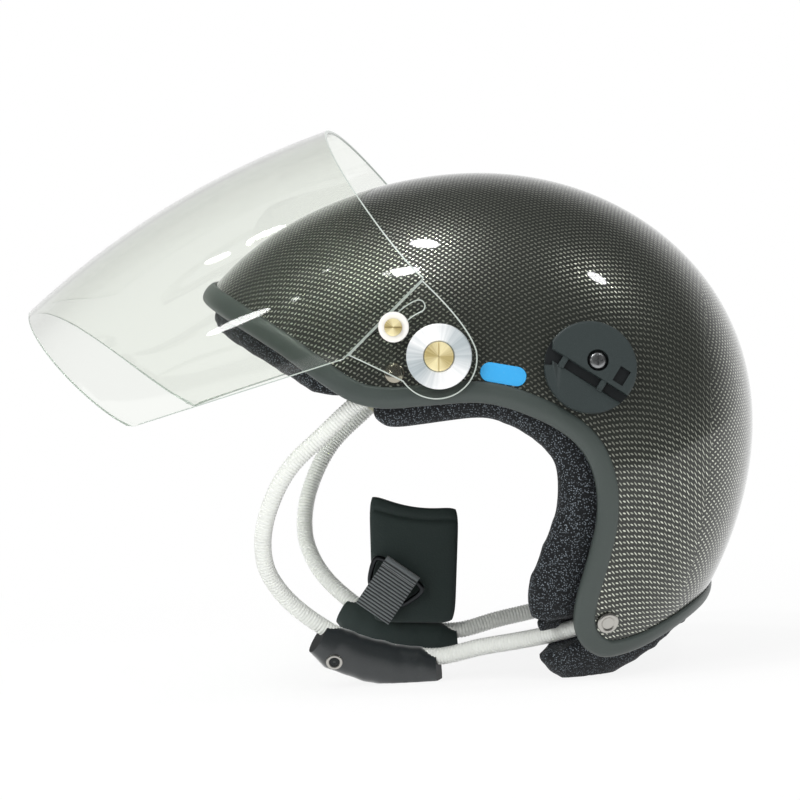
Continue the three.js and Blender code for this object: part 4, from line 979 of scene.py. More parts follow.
def woven_webbing(colours):
    """Woven polyester webbing: shiny ribs 1.7 mm apart that run along the fold, their shine painted
    into the colour as a lighter grey on the crests.
    """
    material, tree, shader = new_material("woven polyester webbing", roughness=0.6)
    shader.inputs["Sheen Weight"].default_value = 0.2
    uv = add_node(tree, "ShaderNodeUVMap", uv_map="Weave").outputs[0]
    ribs = add_node(tree, "ShaderNodeTexWave",
                    {"Vector": uv, "Scale": 1 / (WEBBING_PITCH * WAVE_TURNS), "Distortion": 0.6,
                     "Detail": 2.0}, bands_direction="Y").outputs["Fac"]
    # The rib crests are painted a lighter grey: a painted highlight for their shine.
    tint = add_node(tree, "ShaderNodeMix", {0: ribs, 6: colours.webbing, 7: linear(0x7E8486)},
                    data_type="RGBA").outputs[2]
    tree.links.new(tint, shader.inputs["Base Color"])
    height = add_node(tree, "ShaderNodeBump", {"Height": ribs, "Strength": 0.8,
                                               "Distance": 0.0005}).outputs[0]
    tree.links.new(height, shader.inputs["Normal"])
    return material


def printed_patch(colours):
    """Glossy blue vinyl, bare."""
    return speckled("glossy vinyl", colours.patch, linear(0x6BB9E4), 2.0, 0.25, 0.25, 0.01)


MATERIALS = {}


def finishes():
    """Every finish of the helmet, made once."""
    if MATERIALS:
        return MATERIALS
    sizes, colours = bpy.context.scene.helmet_sizes, bpy.context.scene.helmet_colours
    MATERIALS.update(
        carbon=woven_carbon(sizes, colours),
        rubber=moulded_rubber(colours),
        mesh=brushed_mesh(colours),
        foam=pressed_foam(),
        leather=grained_leather(colours),
        neoprene=neoprene_cloth(),
        mount=moulded_mount(colours),
        sleeve=ribbed_polymer(colours),
        nylon=cast_nylon(),
        # The two colours of each turned metal are the painted highlight of its fan and the painted
        # shade between its wings.
        # Rings 0.12 mm apart on the 31 mm disc, and 0.09 mm apart on the 14 mm screw head.
        aluminium=turned_metal("face-turned aluminium", 0xFDFEFE, 0xAEB8BC, 0.22, 0.34, 260.0,
                               0.85, -68),
        brass=turned_metal("turned brass", 0xFBEEBC, 0xB9A66C, 0.35, 0.34, 160.0, 0.8, 70),
        chrome=plated_metal("chrome-plated steel", 0xB4AFA0, 0.1),
        black_wire=plated_metal("black-oxide steel wire", 0x3A3C3E, 0.3),
        # painted shade for deep faces, cover ends and the lacing hole
        recess=painted_shade_finish(),
        cuff=aged_polymer(),
        nickel=plated_metal("nickel-plated steel", 0xC4C2BC, 0.25),
        steel=plated_metal("zinc-plated steel", 0xA9ABAC, 0.3),
        clear=clear_polycarbonate(),
        clear_edge=polycarbonate_edge(),
        webbing=woven_webbing(colours),
        patch=printed_patch(colours),
    )
    return MATERIALS


# Shell, trim and liner


def dome_grid(inset, around, over, edge_margin):
    """Rows of points that fan out from the crown's rear to the rim."""
    pole = np.array((110.0, 0.0, 38.0))
    pole /= np.linalg.norm(pole)
    centre = np.array((CENTRE_X, 0.0, CENTRE_Z))
    rays = []
    for k in range(around):
        rim = np.array(RIM.point(k / around)) - centre
        reach = np.linalg.norm(rim)
        rim /= reach
        angle = math.acos(clamp(float(rim @ pole), -1, 1))
        last = 1 - edge_margin / (angle * reach)
        for m in range(1, over + 1):
            t = m / over * last
            rays.append((math.sin((1 - t) * angle) * pole + math.sin(t * angle) * rim)
                        / math.sin(angle))
    rays = np.array(rays)
    points = meet_shell(np.tile(centre, (len(rays), 1)), rays, inset)
    top = meet_shell(centre[None, :], pole[None, :], inset)[0]
    return Vector(top), [[Vector(points[k * over + m]) for k in range(around)]
                         for m in range(over)]


def dome_form(outer, inner, around, over, edge_margin=0.0):
    """A closed double skin between two depths of the shell's shape."""
    points, faces, rows = [], [], []
    for inset in (outer, inner):
        top, rings = dome_grid(inset, around, over, edge_margin)
        first = len(points)
        points += [top] + [p for ring in rings for p in ring]
        rows.append([first + 1 + m * around for m in range(over)])
        for j in range(around):
            faces.append((first, first + 1 + j, first + 1 + (j + 1) % around))
        for a, b in zip(rows[-1], rows[-1][1:]):
            for j in range(around):
                k = (j + 1) % around
                faces.append((a + j, b + j, b + k, a + k))
    for j in range(around):
        k = (j + 1) % around
        faces.append((rows[0][-1] + j, rows[1][-1] + j, rows[1][-1] + k, rows[0][-1] + k))
    return points, faces


def lay_cloth(thing, flat_from=0.78):
    """Lays the weave on the shell in metres: strips over the crown from side to side, and flat
    pieces on the brow and the back, with a lap where they meet."""
    stations = np.linspace(CENTRE_X - 143, CENTRE_X + 134, 140)
    angles = np.linspace(0, math.pi, 91)
    grid_x, grid_t = np.meshgrid(stations, angles, indexing="ij")
    starts = np.stack([grid_x.ravel(), np.zeros(grid_x.size), np.full(grid_x.size, CENTRE_Z)], 1)
    rays = np.stack([np.zeros(grid_x.size), np.sin(grid_t.ravel()), np.cos(grid_t.ravel())], 1)
    points = meet_shell(starts, rays, 0).reshape(*grid_x.shape, 3)
    steps = np.linalg.norm(np.diff(points, axis=1), axis=2)
    arcs = np.concatenate([np.zeros((len(stations), 1)), np.cumsum(steps, axis=1)], axis=1)
    back = DESIGN.inverted()
    layer = thing.data.uv_layers.new(name="Weave")
    values = np.zeros((len(thing.data.loops), 2))
    for face in thing.data.polygons:
        normal = (back.to_3x3() @ face.normal).normalized()
        flat = abs(normal.x) > flat_from
        for loop in face.loop_indices:
            p = back @ thing.data.vertices[thing.data.loops[loop].vertex_index].co
            if flat:
                values[loop] = (p.y, p.z)
                continue
            i = clamp((p.x - stations[0]) / (stations[1] - stations[0]), 0, len(stations) - 1.001)
            t = clamp(math.atan2(abs(p.y), p.z - CENTRE_Z) / angles[1], 0, len(angles) - 1.001)
            a, c = int(i), int(t)
            low = mix(arcs[a, c], arcs[a, c + 1], t - c)
            high = mix(arcs[a + 1, c], arcs[a + 1, c + 1], t - c)
            values[loop] = (p.x, math.copysign(mix(low, high, i - a), p.y))
    layer.data.foreach_set("uv", (values * MM).ravel())


def build_shell():
    shell = raw_object("carbon_shell", dome_form(0.0, WALL, 336, 72))
    lay_cloth(shell)
    dress(shell, finishes()["carbon"], "helmet", ("shell",), 60)


def trim_section(count=26):
    """The rubber's outline across the edge: past the edge and outward, in millimetres."""
    stops = [Vector(p) for p in (
        (-5.2, 1.62), (-5.1, 2.3), (-4.3, 3.2), (-2.2, 3.85), (0.6, 3.95), (3.2, 3.3),
        (4.7, 1.9), (5.0, 0.0), (4.7, -1.9), (3.2, -3.3), (0.6, -3.95), (-2.2, -3.85),
        (-4.3, -3.2), (-5.1, -2.3), (-5.2, -1.62))]
    outer = [spline_point(stops, i / count) for i in range(count + 1)]
    return [tuple(p) for p in outer] + [(2.6, -1.62), (2.6, 1.62)]


def build_trim(around=400):
    section = trim_section()
    rings = []
    for k in range(around):
        point, out, beyond = rim_frame(k / around)
        rings.append([point + beyond * a + out * b for a, b in section])
    make("rubber_edge", loft(rings, closed=True), finishes()["rubber"], "helmet",
         ("edge_trim",), sharp_deg=50)


def build_liner():
    form = dome_form(WALL + LINER_GAP, WALL + LINER_DEPTH, 128, 28, LINER_EDGE_MARGIN)
    make("foam_liner", form, finishes()["foam"], "helmet", ("impact_liner",), sharp_deg=50)


# Pads. A share runs from 0 to 1 along a roll, and reaches are in millimetres past the edge.


def ear_reach(share):
    return mix(12.0, 25.0, ease(clamp((share - 0.25) / 0.45)))


def nape_reach(share):
    return mix(18.0, 30.5, ease(clamp((abs(2 * share - 1) - 0.45) / 0.35)))


def nape_flare(share):
    """How far the nape pad bulges out under the trim."""
    return 9.5 * (1 - ease(clamp((abs(2 * share - 1) - 0.45) / 0.4)))


def straight(share):
    return 0.0


# node, start and end on the rim, coarse steps, reach past the edge, flare, taper at the ends
ROLLS = {
    "brow_roll": ("brow_pad", -0.155, 0.155, 24, lambda share: 12.0, straight, 0.45),
    "left_ear_roll": ("left_ear_pad", 0.165, 0.372, 20, ear_reach, straight, 0.7),
    "right_ear_roll": ("right_ear_pad", 0.835, 0.628, 20, ear_reach, straight, 0.7),
    "nape_roll": ("nape_pad", 0.367, 0.633, 24, nape_reach, nape_flare, 0.5),
}


def roll_form(start, end, coarse, reach, flare, end_share, sides=22, finer=4, inset=0.3):
    """A roll that follows the rim inside the shell, a little slimmer than its final size."""
    rings = []
    steps = coarse * finer
    deep = WALL / 2 + ROLL_CLEARANCE + ROLL_HALF_WALL
    for i in range(steps + 1):
        share = i / steps
        point, out, beyond = rim_frame(mix(start, end, share))
        near_end = min(share, 1 - share) * coarse
        taper = min(1.0, end_share + 0.35 * near_end)
        half = (reach(share) + ROLL_BEHIND_EDGE) / 2 * taper - inset
        thick = ROLL_HALF_WALL * taper - inset
        middle = (reach(share) - ROLL_BEHIND_EDGE) / 2
        ring = []
        for turn in turns(sides):
            past = middle + power(math.cos(turn), SQUARED) * half
            bulge = flare(share) * ease(clamp((past - FLARE_START) / FLARE_RUN))
            ring.append(point + beyond * past
                        + out * (power(math.sin(turn), SQUARED) * thick - deep + bulge))
        rings.append(ring)
    return loft(rings)


def build_rolls():
    sizes = bpy.context.scene.helmet_sizes
    for name, (node, *values) in ROLLS.items():
        roll = raw_object(name, roll_form(*values))
        fill_pad(roll, sizes.pad_swell, sizes.pad_voxel)
        make_way(roll)
        dress(roll, finishes()["mesh"], "helmet", (node,), 70)


def build_crown_cushion(rows=48, columns=40):
    """A cushion quilted in four, over 104 degrees along the crown and 76 across it."""
    inset = WALL + LINER_DEPTH + CROWN_PAD_CLEARANCE

    def faces(i, j):
        u, v = 2 * i / rows - 1, 2 * j / columns - 1
        puff = math.sqrt((1 - u**6) * (1 - v**6))
        channel = 1 - 0.3 * math.exp(-(v / 0.06)**2) - 0.3 * math.exp(-(u / 0.05)**2)
        thick = CROWN_PAD_WALL * (0.25 + 0.75 * puff * channel)
        angle, tilt = math.radians(92 + 52 * u), math.radians(90 + 38 * v)
        return shell_point(angle, tilt, inset + thick), shell_point(angle, tilt, inset)

    pad = make("crown_cushion", sheet(rows, columns, faces), finishes()["mesh"], "helmet",
               ("crown_pad",), sharp_deg=70)


# Visor


VISOR_UP = Vector((math.cos(VISOR_LEAN), 0, math.sin(VISOR_LEAN)))
VISOR_OUT = Vector((-math.sin(VISOR_LEAN), 0, math.cos(VISOR_LEAN)))


def visor_point(rise, turn):
    """The middle of the visor's wall."""
    foot, heel, crest = (Vector(VISOR_EDGE[key]) for key in ("foot", "heel", "crest"))
    low = foot.lerp(heel, rise * 1.5) if rise < 2 / 3 else heel.lerp(crest, rise * 3 - 2)
    middle_up = mix(-1.0, 0.0, rise) * VISOR_HEIGHT
    middle_out = VISOR_FRONT + VISOR_BULGE * 4 * rise * (1 - rise)
    width = mix(VISOR_LOWER_HALF_WIDTH, ARM_INNER + VISOR_WALL / 2, min(1, rise * 1.5)**0.6)
    ahead = abs(math.cos(turn))
    up = mix(low.x * VISOR_HEIGHT, middle_up, ahead**0.6)
    out = mix(low.y * VISOR_FRONT, middle_out, ahead**(2 / 2.3))
    y = power(math.sin(turn), 2 / 2.1) * width
    return Vector((0, y, 0)) + VISOR_UP * up + VISOR_OUT * out


def visor_panel(rows, columns):
    middle = [[visor_point(i / rows, (j / columns - 0.5) * math.pi) for j in range(columns + 1)]
              for i in range(rows + 1)]

    def faces(i, j):
        point = middle[i][j]
        rise = middle[min(rows, i + 1)][j] - middle[max(0, i - 1)][j]
        run = middle[i][min(columns, j + 1)] - middle[i][max(0, j - 1)]
        out = rise.cross(run).normalized()
        if j in (0, columns):
            out = Vector((0, math.copysign(1, point.y), 0))
        return point + out * VISOR_WALL / 2, point - out * VISOR_WALL / 2

    return sheet(rows, columns, faces)


def visor_side(name):
    up, out = VISOR_EDGE[name]
    point = VISOR_UP * up * VISOR_HEIGHT + VISOR_OUT * out * VISOR_FRONT
    return Vector((point.x, point.z))


def bent(start, control, end, count):
    """Points on a quadratic curve, without its first."""
    return [start.lerp(control, i / count).lerp(control.lerp(end, i / count), i / count)
            for i in range(1, count + 1)]


def arc(centre, radius, start, end, count):
    return [Vector((centre[0] + radius * math.cos(mix(start, end, i / count)),
                    centre[1] + radius * math.sin(mix(start, end, i / count))))
            for i in range(count + 1)]


def arm_outline():
    heel, crest = visor_side("heel"), visor_side("crest")
    start, end = heel.lerp(crest, 0.03), crest.lerp(heel, 0.03)
    lap = Vector((start.y - end.y, end.x - start.x)).normalized() * 3
    start, end = start + lap, end + lap
    r = ARM_RADIUS
    rest = arc(ARM_MIDDLE, r, math.radians(215), math.radians(372), 60)
    return ([start] + bent(start, ARM_MIDDLE + Vector((-1.35 * r, -0.3 * r)), rest[0], 24)
            + rest[1:] + bent(rest[-1], ARM_MIDDLE + Vector((0.75 * r, 0.9 * r)), end, 24))


def slot_outline():
    half = SLOT_WIDTH / 2
    start, end = STOP_ANGLE, STOP_ANGLE - VISOR_SWING
    far = (SLOT_RADIUS * math.cos(end), SLOT_RADIUS * math.sin(end))
    near = (SLOT_RADIUS * math.cos(start), SLOT_RADIUS * math.sin(start))
    return (arc((0, 0), SLOT_RADIUS + half, start, end, 20)
            + arc(far, half, end, end - math.pi, 12)[1:]
            + arc((0, 0), SLOT_RADIUS - half, end, start, 20)[1:]
            + arc(near, half, start + math.pi, start, 12)[1:-1])


def mark_edges(thing, is_edge):
    """Gives a sheet two finishes and marks the faces of its cut edge for the second, which paints a
    highlight on that edge.
    """
    for look in ("clear", "clear_edge"):
        thing.data.materials.append(finishes()[look])
    for face in thing.data.polygons:
        face.material_index = int(is_edge(face))


def build_visor(rows=48, columns=120):
    panel = raw_object("clear_visor", visor_panel(rows, columns))
    mark_edges(panel, lambda face: face.index >= 2 * rows * columns)
    arms = []
    for side in (-1, 1):
        low, high = sorted((side * (ARM_INNER + 0.25), side * (ARM_OUTER - 0.25)))
        hole = arc((0, 0), PIVOT_HOLE, 0, 2 * math.pi, 32)[:-1]
        arms.append(raw_object("arm", plate(arm_outline(), [slot_outline(), hole], low, high)))
        mark_edges(arms[-1], lambda face: abs(face.normal.y) < 0.5)
    combine(panel, arms, "UNION")
    # The bevelled edge faces take the painted edge highlight as well.
    soften(panel, VISOR_EDGE_CUT, segments=1, angle_deg=60, finish=1, clamped=False)
    marks = [face.material_index for face in panel.data.polygons]
    dress(panel, finishes()["clear"], "visor", ("visor",), 14)
    panel.data.materials.append(finishes()["clear_edge"])
    panel.data.polygons.foreach_set("material_index", marks)


# Pivot and stop hardware, drawn along +Z


def slotted(name, radius, low, high, shank, foot, slot_turn, matrix, hides):
    """A brass screw with a domed head and one straight slot."""
    profile = [(0, foot), (shank, foot), (shank, low), (radius, low), (radius, high - 0.5),
               (radius - 0.12, high - 0.22), (radius - 0.5, high - 0.04), (radius - 1.0, high),
               (0, high)]
    head = raw_object(name, lathe(profile, 56), matrix)
    slot_width, slot_depth = 0.7, 0.85
    slot = raw_object("slot", block(4 * radius, slot_width, 2 * slot_depth, (0, 0, high),
                                    slot_turn), matrix)
    combine(head, [slot])
    dress(head, finishes()["brass"], "helmet", hides, 30)


def pivot_matrix(side):
    return seat_matrix(Vector(), Vector((0, side, 0)), side)


def stop_matrix(side):
    return pivot_matrix(side) @ Matrix.Translation(
        (-side * SLOT_RADIUS * math.cos(STOP_ANGLE), SLOT_RADIUS * math.sin(STOP_ANGLE), 0))


def build_pivots():
    looks = finishes()
    low = ARM_OUTER + 0.3
    high = low + 3.4
    shell_at = shell_half_width(0, 0, 0)
    for side, word in SIDES:
        pivot, stop = pivot_matrix(side), stop_matrix(side)
        knob = [(PIVOT_HOLE, low + 0.9), (PIVOT_HOLE, low), (14.6, low), (15.25, low + 0.3),
                (15.5, low + 0.9), (15.5, high - 0.9), (15.35, high - 0.4), (15.0, high - 0.1),
                (14.6, high), (8.2, high - 0.6), (7.6, high - 0.75), (7.35, high - 1.0),
                (7.3, low + 1.35), (PIVOT_HOLE, low + 1.35), (PIVOT_HOLE, low + 0.9)]
        make(f"{word}_knob", lathe(knob, 96), looks["aluminium"], "helmet",
             (f"{word}_pivot_disc",), pivot, 30)
        slotted(f"{word}_knob_screw", 7.0, low + 1.65, high, 3.0, shell_at - WALL - 4.0,
                math.pi / 2, pivot, (f"{word}_pivot_screw",))
        cap = [(1.8, low), (7.0, low), (7.25, low + 0.25), (7.25, low + 1.3), (7.05, low + 1.75),
               (6.6, low + 1.98), (6.0, low + 2.0), (4.6, low + 1.9), (1.8, low + 1.9),
               (1.8, low)]
        make(f"{word}_stop_cap", lathe(cap, 72), looks["nylon"], "helmet",
             (f"{word}_stop_washer",), stop, 30)
        slotted(f"{word}_stop_pin", 4.2, low + 2.3, low + 4.1, 1.5, shell_at - WALL - 1.0, 0.0,
                stop, (f"{word}_stop_screw",))


def build_rivets():
    looks = finishes()
    under = -RIVET_GRIP
    for side, word in SIDES:
        for kind, (x, z), finish in (("temple", TEMPLE, "chrome"), ("lobe", LOBE, "nickel")):
            base = [(0, under - 1.5), (3.5, under - 1.5), (3.5, under), (2, under), (2, 0.4)]
            if kind == "temple":
                head = [(5 * math.cos(a), 0.75 + 2.2 * math.sin(a))
                        for a in (math.radians(d) for d in range(0, 91, 6))]
                head = [(5, 0.4)] + head[:-1] + [(0, 2.95)]
            else:
                head = [(5.0, 0.4), (5.3, 0.7), (5.3, 1.2), (4.9, 1.7), (4.4, 1.95), (3.9, 1.98),
                        (3.3, 1.7), (2.9, 1.25), (2.4, 1.05), (0.9, 1.0), (0, 1.0)]
            make(f"{word}_{kind}_stud", lathe(base + head, 48), looks[finish], "helmet",
                 (f"{word}_{kind}_rivet",), seat_matrix(*shell_seat(x, z, side), side),
                 25)


def mount_boss(word, place, bore):
    """The round plate, milled for its band, a lowered side, a notch in the rim and a pocket, and
    bored for its screw."""
    radius, low, high = MOUNT_RADIUS, MOUNT_LOW, MOUNT_HIGH
    profile = [(0, low), (radius - 0.9, low), (radius, low + 0.9), (radius, high - 1.1),
               (radius - 0.25, high - 0.5), (radius - 0.8, high - 0.1), (radius - 1.4, high),
               (0, high)]
    boss = raw_object(f"{word}_headset_boss", lathe(profile, 96), place)
    lowered = MOUNT_ACROSS * (7.5 + radius)
    cuts = (
        block(90, 5.0, 4.8, (*MOUNT_BAND, high), MOUNT_TURN),
        block(90, 44, 2.4, (*lowered, high), MOUNT_TURN),
        block(7, 13, 4.8, (-radius, 6.5, high)),
        block(5.5, 8.0, 3.0, (14.5, -4.0, high), MOUNT_TURN),
    )
    tools = [raw_object("cut", form, place) for form in cuts]
    tools += [raw_object("cut", lathe([(0, foot), (wide, foot), (wide, top), (0, top)], sides),
                         bore)
              for wide, foot, top, sides in ((5.2, 5.1, 20, 40), (2.3, 0, 9, 24))]
    combine(boss, tools)
    soften(boss, 0.28)
    dress(boss, finishes()["mount"], "helmet", (f"{word}_headset_plate",), 30)
    # The faces deep in the milled cuts take the painted shade finish, nearly black.
    boss.data.materials.append(finishes()["recess"])
    inward = (DESIGN @ place).inverted()
    for face in boss.data.polygons:
        at = inward @ face.center
        if low + 0.5 < at.z < high - 1.5 and math.hypot(at.x, at.y) < radius - 0.4:
            face.material_index = 1


def mount_catches(word, place):
    """Two small catches in the band."""
    for number, share in enumerate((-0.28, 0.2)):
        reach = share * 2 * MOUNT_RADIUS
        at = (MOUNT_BAND.x + reach * math.cos(MOUNT_TURN),
              MOUNT_BAND.y + reach * math.sin(MOUNT_TURN), MOUNT_HIGH - 1.6)
        catch = raw_object(f"{word}_headset_catch_{number + 1}",
                           block(3.0, 6.5, 2.6, at, MOUNT_TURN), place)
        soften(catch, 0.5)
        dress(catch, finishes()["mount"], "helmet")


def mount_screw(word, bore):
    """The pan-head screw with its cross recess."""
    base = MOUNT_HIGH - 2.5
    top = base + 2.6
    head = [(0, -7), (2, -7), (2, base), (4.3, base), (4.3, base + 0.9), (4.1, base + 1.5),
            (3.5, base + 2.1), (2.4, base + 2.5), (0, top)]
    screw = raw_object(f"{word}_headset_pan_screw", lathe(head, 40), bore)
    combine(screw, [raw_object("cut", block(wide, deep, 2.4, (0, 0, top)), bore)
                    for wide, deep in ((4.6, 1.0), (1.0, 4.6))])
    dress(screw, finishes()["steel"], "helmet", (f"{word}_headset_screw",), 30)


def build_mounts():
    """The headset plates with their catches and screws, each on a rubber foot."""
    foot = [(0, -2), (20.5, -2), (20.5, 2.2), (20.1, 2.6), (0, 2.6)]
    off = MOUNT_SCREW_OFF * math.sqrt(0.5)
    for side, word in SIDES:
        seat = seat_matrix(*shell_seat(*MOUNT, side), side)
        place = seat @ Matrix.Diagonal((-side, 1, 1, 1))
        bore = place @ Matrix.Translation((off, off, 0))
        mount_boss(word, place, bore)
        mount_catches(word, place)
        make(f"{word}_headset_foot", lathe(foot, 72), finishes()["rubber"], "helmet",
             (f"{word}_headset_base",), seat, 30)
        mount_screw(word, bore)


# Jaw hoops and covers


def sleeve_form(side, rib_pitch, rib_depth, sides=18):
    route = hoop_route(side)
    ribs = round(route.length / rib_pitch)
    rings = []
    for i in range(ribs):
        # A share of the rib's pitch, and 0 on the rib's back or 1 in its groove.
        for step, sink in ((0.0, 0.0), (0.42, 0.0), (0.58, 1.0), (0.84, 1.0)):
            point, out, beyond = hoop_frame(route, (i + step + 0.08) / (ribs + 0.2), side)
            rings.append(tube_ring(point, beyond, out, SLEEVE_RADIUS - sink * rib_depth, sides))
    return loft(rings)


def build_sleeves():
    sizes = bpy.context.scene.helmet_sizes
    for side, word in SIDES:
        make(f"{word}_ribbed_sleeve", sleeve_form(side, sizes.rib_pitch / MM, sizes.rib_depth / MM),
             finishes()["sleeve"], "helmet", (f"{word}_hoop_sleeve",), sharp_deg=60)
    make("right_tube_cuff", cuff_form(1), finishes()["cuff"], "helmet", sharp_deg=60)


def cuff_form(side, start=0.012, end=0.1, steps=40, sides=24):
    """A smooth tube slid over the sleeve's upper end, with shallow wrinkles round it."""
    route = hoop_route(side)
    rings = []
    for i in range(steps + 1):
        share = i / steps
        point, out, beyond = hoop_frame(route, mix(start, end, share), side)
        radius = CUFF_RADIUS + 0.12 * math.sin(share * 21) - 0.25 * share**6
        rings.append(tube_ring(point, beyond, out, radius, sides))
    return loft(rings)


def cover_form(side, stations=56, around=40):
    """Leather folded round the sleeve, squared off, with soft creases."""
    route = hoop_route(side)
    rings = []
    for i in range(stations + 1):
        share = i / stations
        point, _, across, up = cover_frame(route, share)
        end = min(1.0, 0.72 + min(share, 1 - share) * 2)
        ring = []
        for turn in turns(around):
            crease = (0.16 * math.sin(share * 23 + 2.2 * math.sin(turn))
                      + 0.12 * math.sin(share * 41 + 3 * turn))
            c, s = power(math.cos(turn), SQUARED), power(math.sin(turn), SQUARED)
            ring.append(point + across * (c * (COVER_HALF_WIDTH * end + crease))
                        + up * (s * (COVER_HALF_HEIGHT * end + crease) - COVER_DROP))
        rings.append(ring)
    return loft(rings)


def shade_ends(cover, side):
    """Paints shade on the open ends of a cover, where it is dark between leather and sleeve: the end
    faces take the painted shade finish.
    """
    cover.data.materials.append(finishes()["recess"])
    route = hoop_route(side)
    ends = [(DESIGN @ route.point(at), (DESIGN.to_3x3() @ route.along(at)).normalized())
            for at in (COVER_FROM, COVER_TO)]
    for face in cover.data.polygons:
        face.material_index = int(any(abs(face.normal.dot(along)) > 0.9
                                      and (face.center - point).length < 14 * MM
                                      for point, along in ends))


def eyelet_rings(radii, lifts):
    """Rings round the lacing hole of the near cover, with these radii and heights over it."""
    point, along, across, up = cover_frame(hoop_route(-1), EYELET_SHARE)
    c, s = math.cos(EYELET_TURN), math.sin(EYELET_TURN)
    centre = (point + across * (power(c, SQUARED) * COVER_HALF_WIDTH)
              + up * (power(s, SQUARED) * COVER_HALF_HEIGHT - COVER_DROP))
    out = (across * (c / COVER_HALF_WIDTH) + up * (s / COVER_HALF_HEIGHT)).normalized()
    low = out.cross(along).normalized()
    return [[centre + out * lift + (along * math.cos(turn) + low * math.sin(turn)) * radius
             for radius, lift in zip(radii, lifts)] for turn in turns(36)]


def build_eyelet():
    wire = [(EYELET_RADIUS + EYELET_WIRE * math.cos(a), EYELET_WIRE * math.sin(a))
            for a in turns(10)]
    make("cover_eyelet", loft(eyelet_rings(*zip(*wire)), closed=True), finishes()["nickel"],
         "helmet", sharp_deg=60)
    inner = EYELET_RADIUS - EYELET_WIRE / 2
    # The hole is a nearly black disc of painted shade set inside the ring.
    make("cover_eyelet_hole_shade",
         loft(eyelet_rings([inner, inner, inner / 4, inner / 4], [-0.6, 0.2, 0.2, -0.6]),
              closed=True),
         finishes()["recess"], "helmet", sharp_deg=30)


def build_covers():
    for side, word in SIDES:
        look = finishes()["leather" if side < 0 else "neoprene"]
        cover = raw_object(f"{word}_leather_cover", cover_form(side))
        rest_on_floor(cover)
        dress(cover, look, "helmet", (f"{word}_jaw_cover",), 60)
        shade_ends(cover, side)
    build_eyelet()


# Throat flap


def flap_form(rows=60, columns=44):
    """A padded sheet with crowned faces, a sewn hem near its top and a sagging upper edge."""
    def faces(i, j):
        v, u = 2 * i / rows - 1, 2 * j / columns - 1
        high = (v + 1) / 2
        x = FLAP_MIDDLE + u * FLAP_HALF_WIDTH * (1 - 0.07 * v**8) * mix(0.92, 1, high)
        drop = high * (FLAP_SAG * (1 - u * u) + FLAP_FALL * (u + 1) / 2)
        z = FLAP_FOOT + FLAP_HEIGHT * (0.5 + v / 2 * (1 - 0.05 * u**8)) - drop
        crown = 0.3 + 0.7 * math.sqrt((1 - u**6) * (1 - v**6))
        hem = 1 - 0.45 * math.exp(-((v - 0.8) / 0.035)**2)
        half = FLAP_HALF_WALL * crown * hem
        return Vector((x, FLAP_OFF - half, z)), Vector((x, FLAP_OFF + half, z))

    return sheet(rows, columns, faces)


def build_flap():
    pad = make("throat_cushion", flap_form(), finishes()["neoprene"], "flap",
               ("throat_pad",), sharp_deg=60)
    strap = raw_object("folded_strap", strap_form(), STRAP)
    lay_strap(strap)
    dress(strap, finishes()["webbing"], "flap", ("chin_webbing",), 40)
    make("strap_ring", ring_form(), finishes()["black_wire"], "flap", ("chin_ring",),
         STRAP, 60)


def strap_form(width=20.0, count=40):
    """Webbing folded round the ring's bar: the bar's eye above, two layers hanging."""
    outer, inner = 3.1, 1.6
    half = 1.5
    neck = math.asin(half / outer)
    outline = [(half, -STRAP_DROP)]
    outline += [(outer * math.cos(a), outer * math.sin(a)) for a in
                (mix(neck - math.pi / 2, 1.5 * math.pi - neck, i / count)
                 for i in range(count + 1))]
    outline.append((-half, -STRAP_DROP))
    hole = [(inner * math.cos(a), inner * math.sin(a)) for a in turns(24)]
    points, faces = plate(outline, [hole], -width / 2, width / 2)
    return [Vector((p.y, p.x, p.z)) for p in points], faces


def lay_strap(thing):
    """UV across the strap and up it, in metres."""
    back = (DESIGN @ STRAP).inverted()
    layer = thing.data.uv_layers.new(name="Weave")
    for loop in thing.data.loops:
        p = back @ thing.data.vertices[loop.vertex_index].co
        layer.data[loop.index].uv = (p.x * MM, (p.z + abs(p.y)) * MM)


def ring_form(steps=120, sides=16):
    """A wire ring with a straight bar, bent back below it."""
    half, behind, drop, wire = 12.6, 3.4, 16.0, 1.3
    stops = [Vector((x * half, y * behind, z * drop)) for x, z, y in (
        (-0.9, 0, 0), (0, 0, 0), (0.9, 0, 0), (1.12, -0.1, 0.15), (1, -0.55, 0.6),
        (0.7, -0.92, 1), (0, -1, 1), (-0.7, -0.92, 1), (-1, -0.55, 0.6), (-1.12, -0.1, 0.15))]
    dense = smooth_route(stops * 3, 900).points[300:600]
    route = Route(dense, closed=True)
    rings = []
    for i in range(steps):
        point, along = route.point(i / steps), route.along(i / steps, 0.006)
        out = square_to(along, Vector((0, 1, 0)))
        rings.append(tube_ring(point, along.cross(out), out, wire, sides))
    return loft(rings, closed=True)


# Size patch


def build_patch(rings=5):
    """The blue patch above the left ear, bare, lying on the shell."""
    sizes = bpy.context.scene.helmet_sizes
    half_high = sizes.patch_height / MM / 2
    end = sizes.patch_length / MM / 2 - half_high
    quarter = math.pi / 2
    outline = (arc((end, 0), half_high, -quarter, quarter, 20)
               + [Vector((mix(end, -end, i / 10), half_high)) for i in range(1, 10)]
               + arc((-end, 0), half_high, quarter, 3 * quarter, 20)
               + [Vector((mix(-end, end, i / 10), -half_high)) for i in range(1, 10)])
    tilt = Matrix.Rotation(math.radians(-9.5), 2)
    layers = []
    for lift in (0.05, 0.4):
        layers.append([])
        for n in range(rings + 1):
            edge = lift > 0.1 and n == rings
            layers[-1].append([])
            for corner in outline:
                flat = PATCH_AT + tilt @ corner * (n / rings) * (0.985 if edge else 1)
                point, normal = shell_seat(flat.x, flat.y, -1)
                layers[-1][n].append(point + normal * (lift - 0.12 if edge else lift))
    rows = layers[1] + layers[0][::-1]
    make("size_patch", loft(rows, capped=False), finishes()["patch"], "helmet",
         sharp_deg=40)


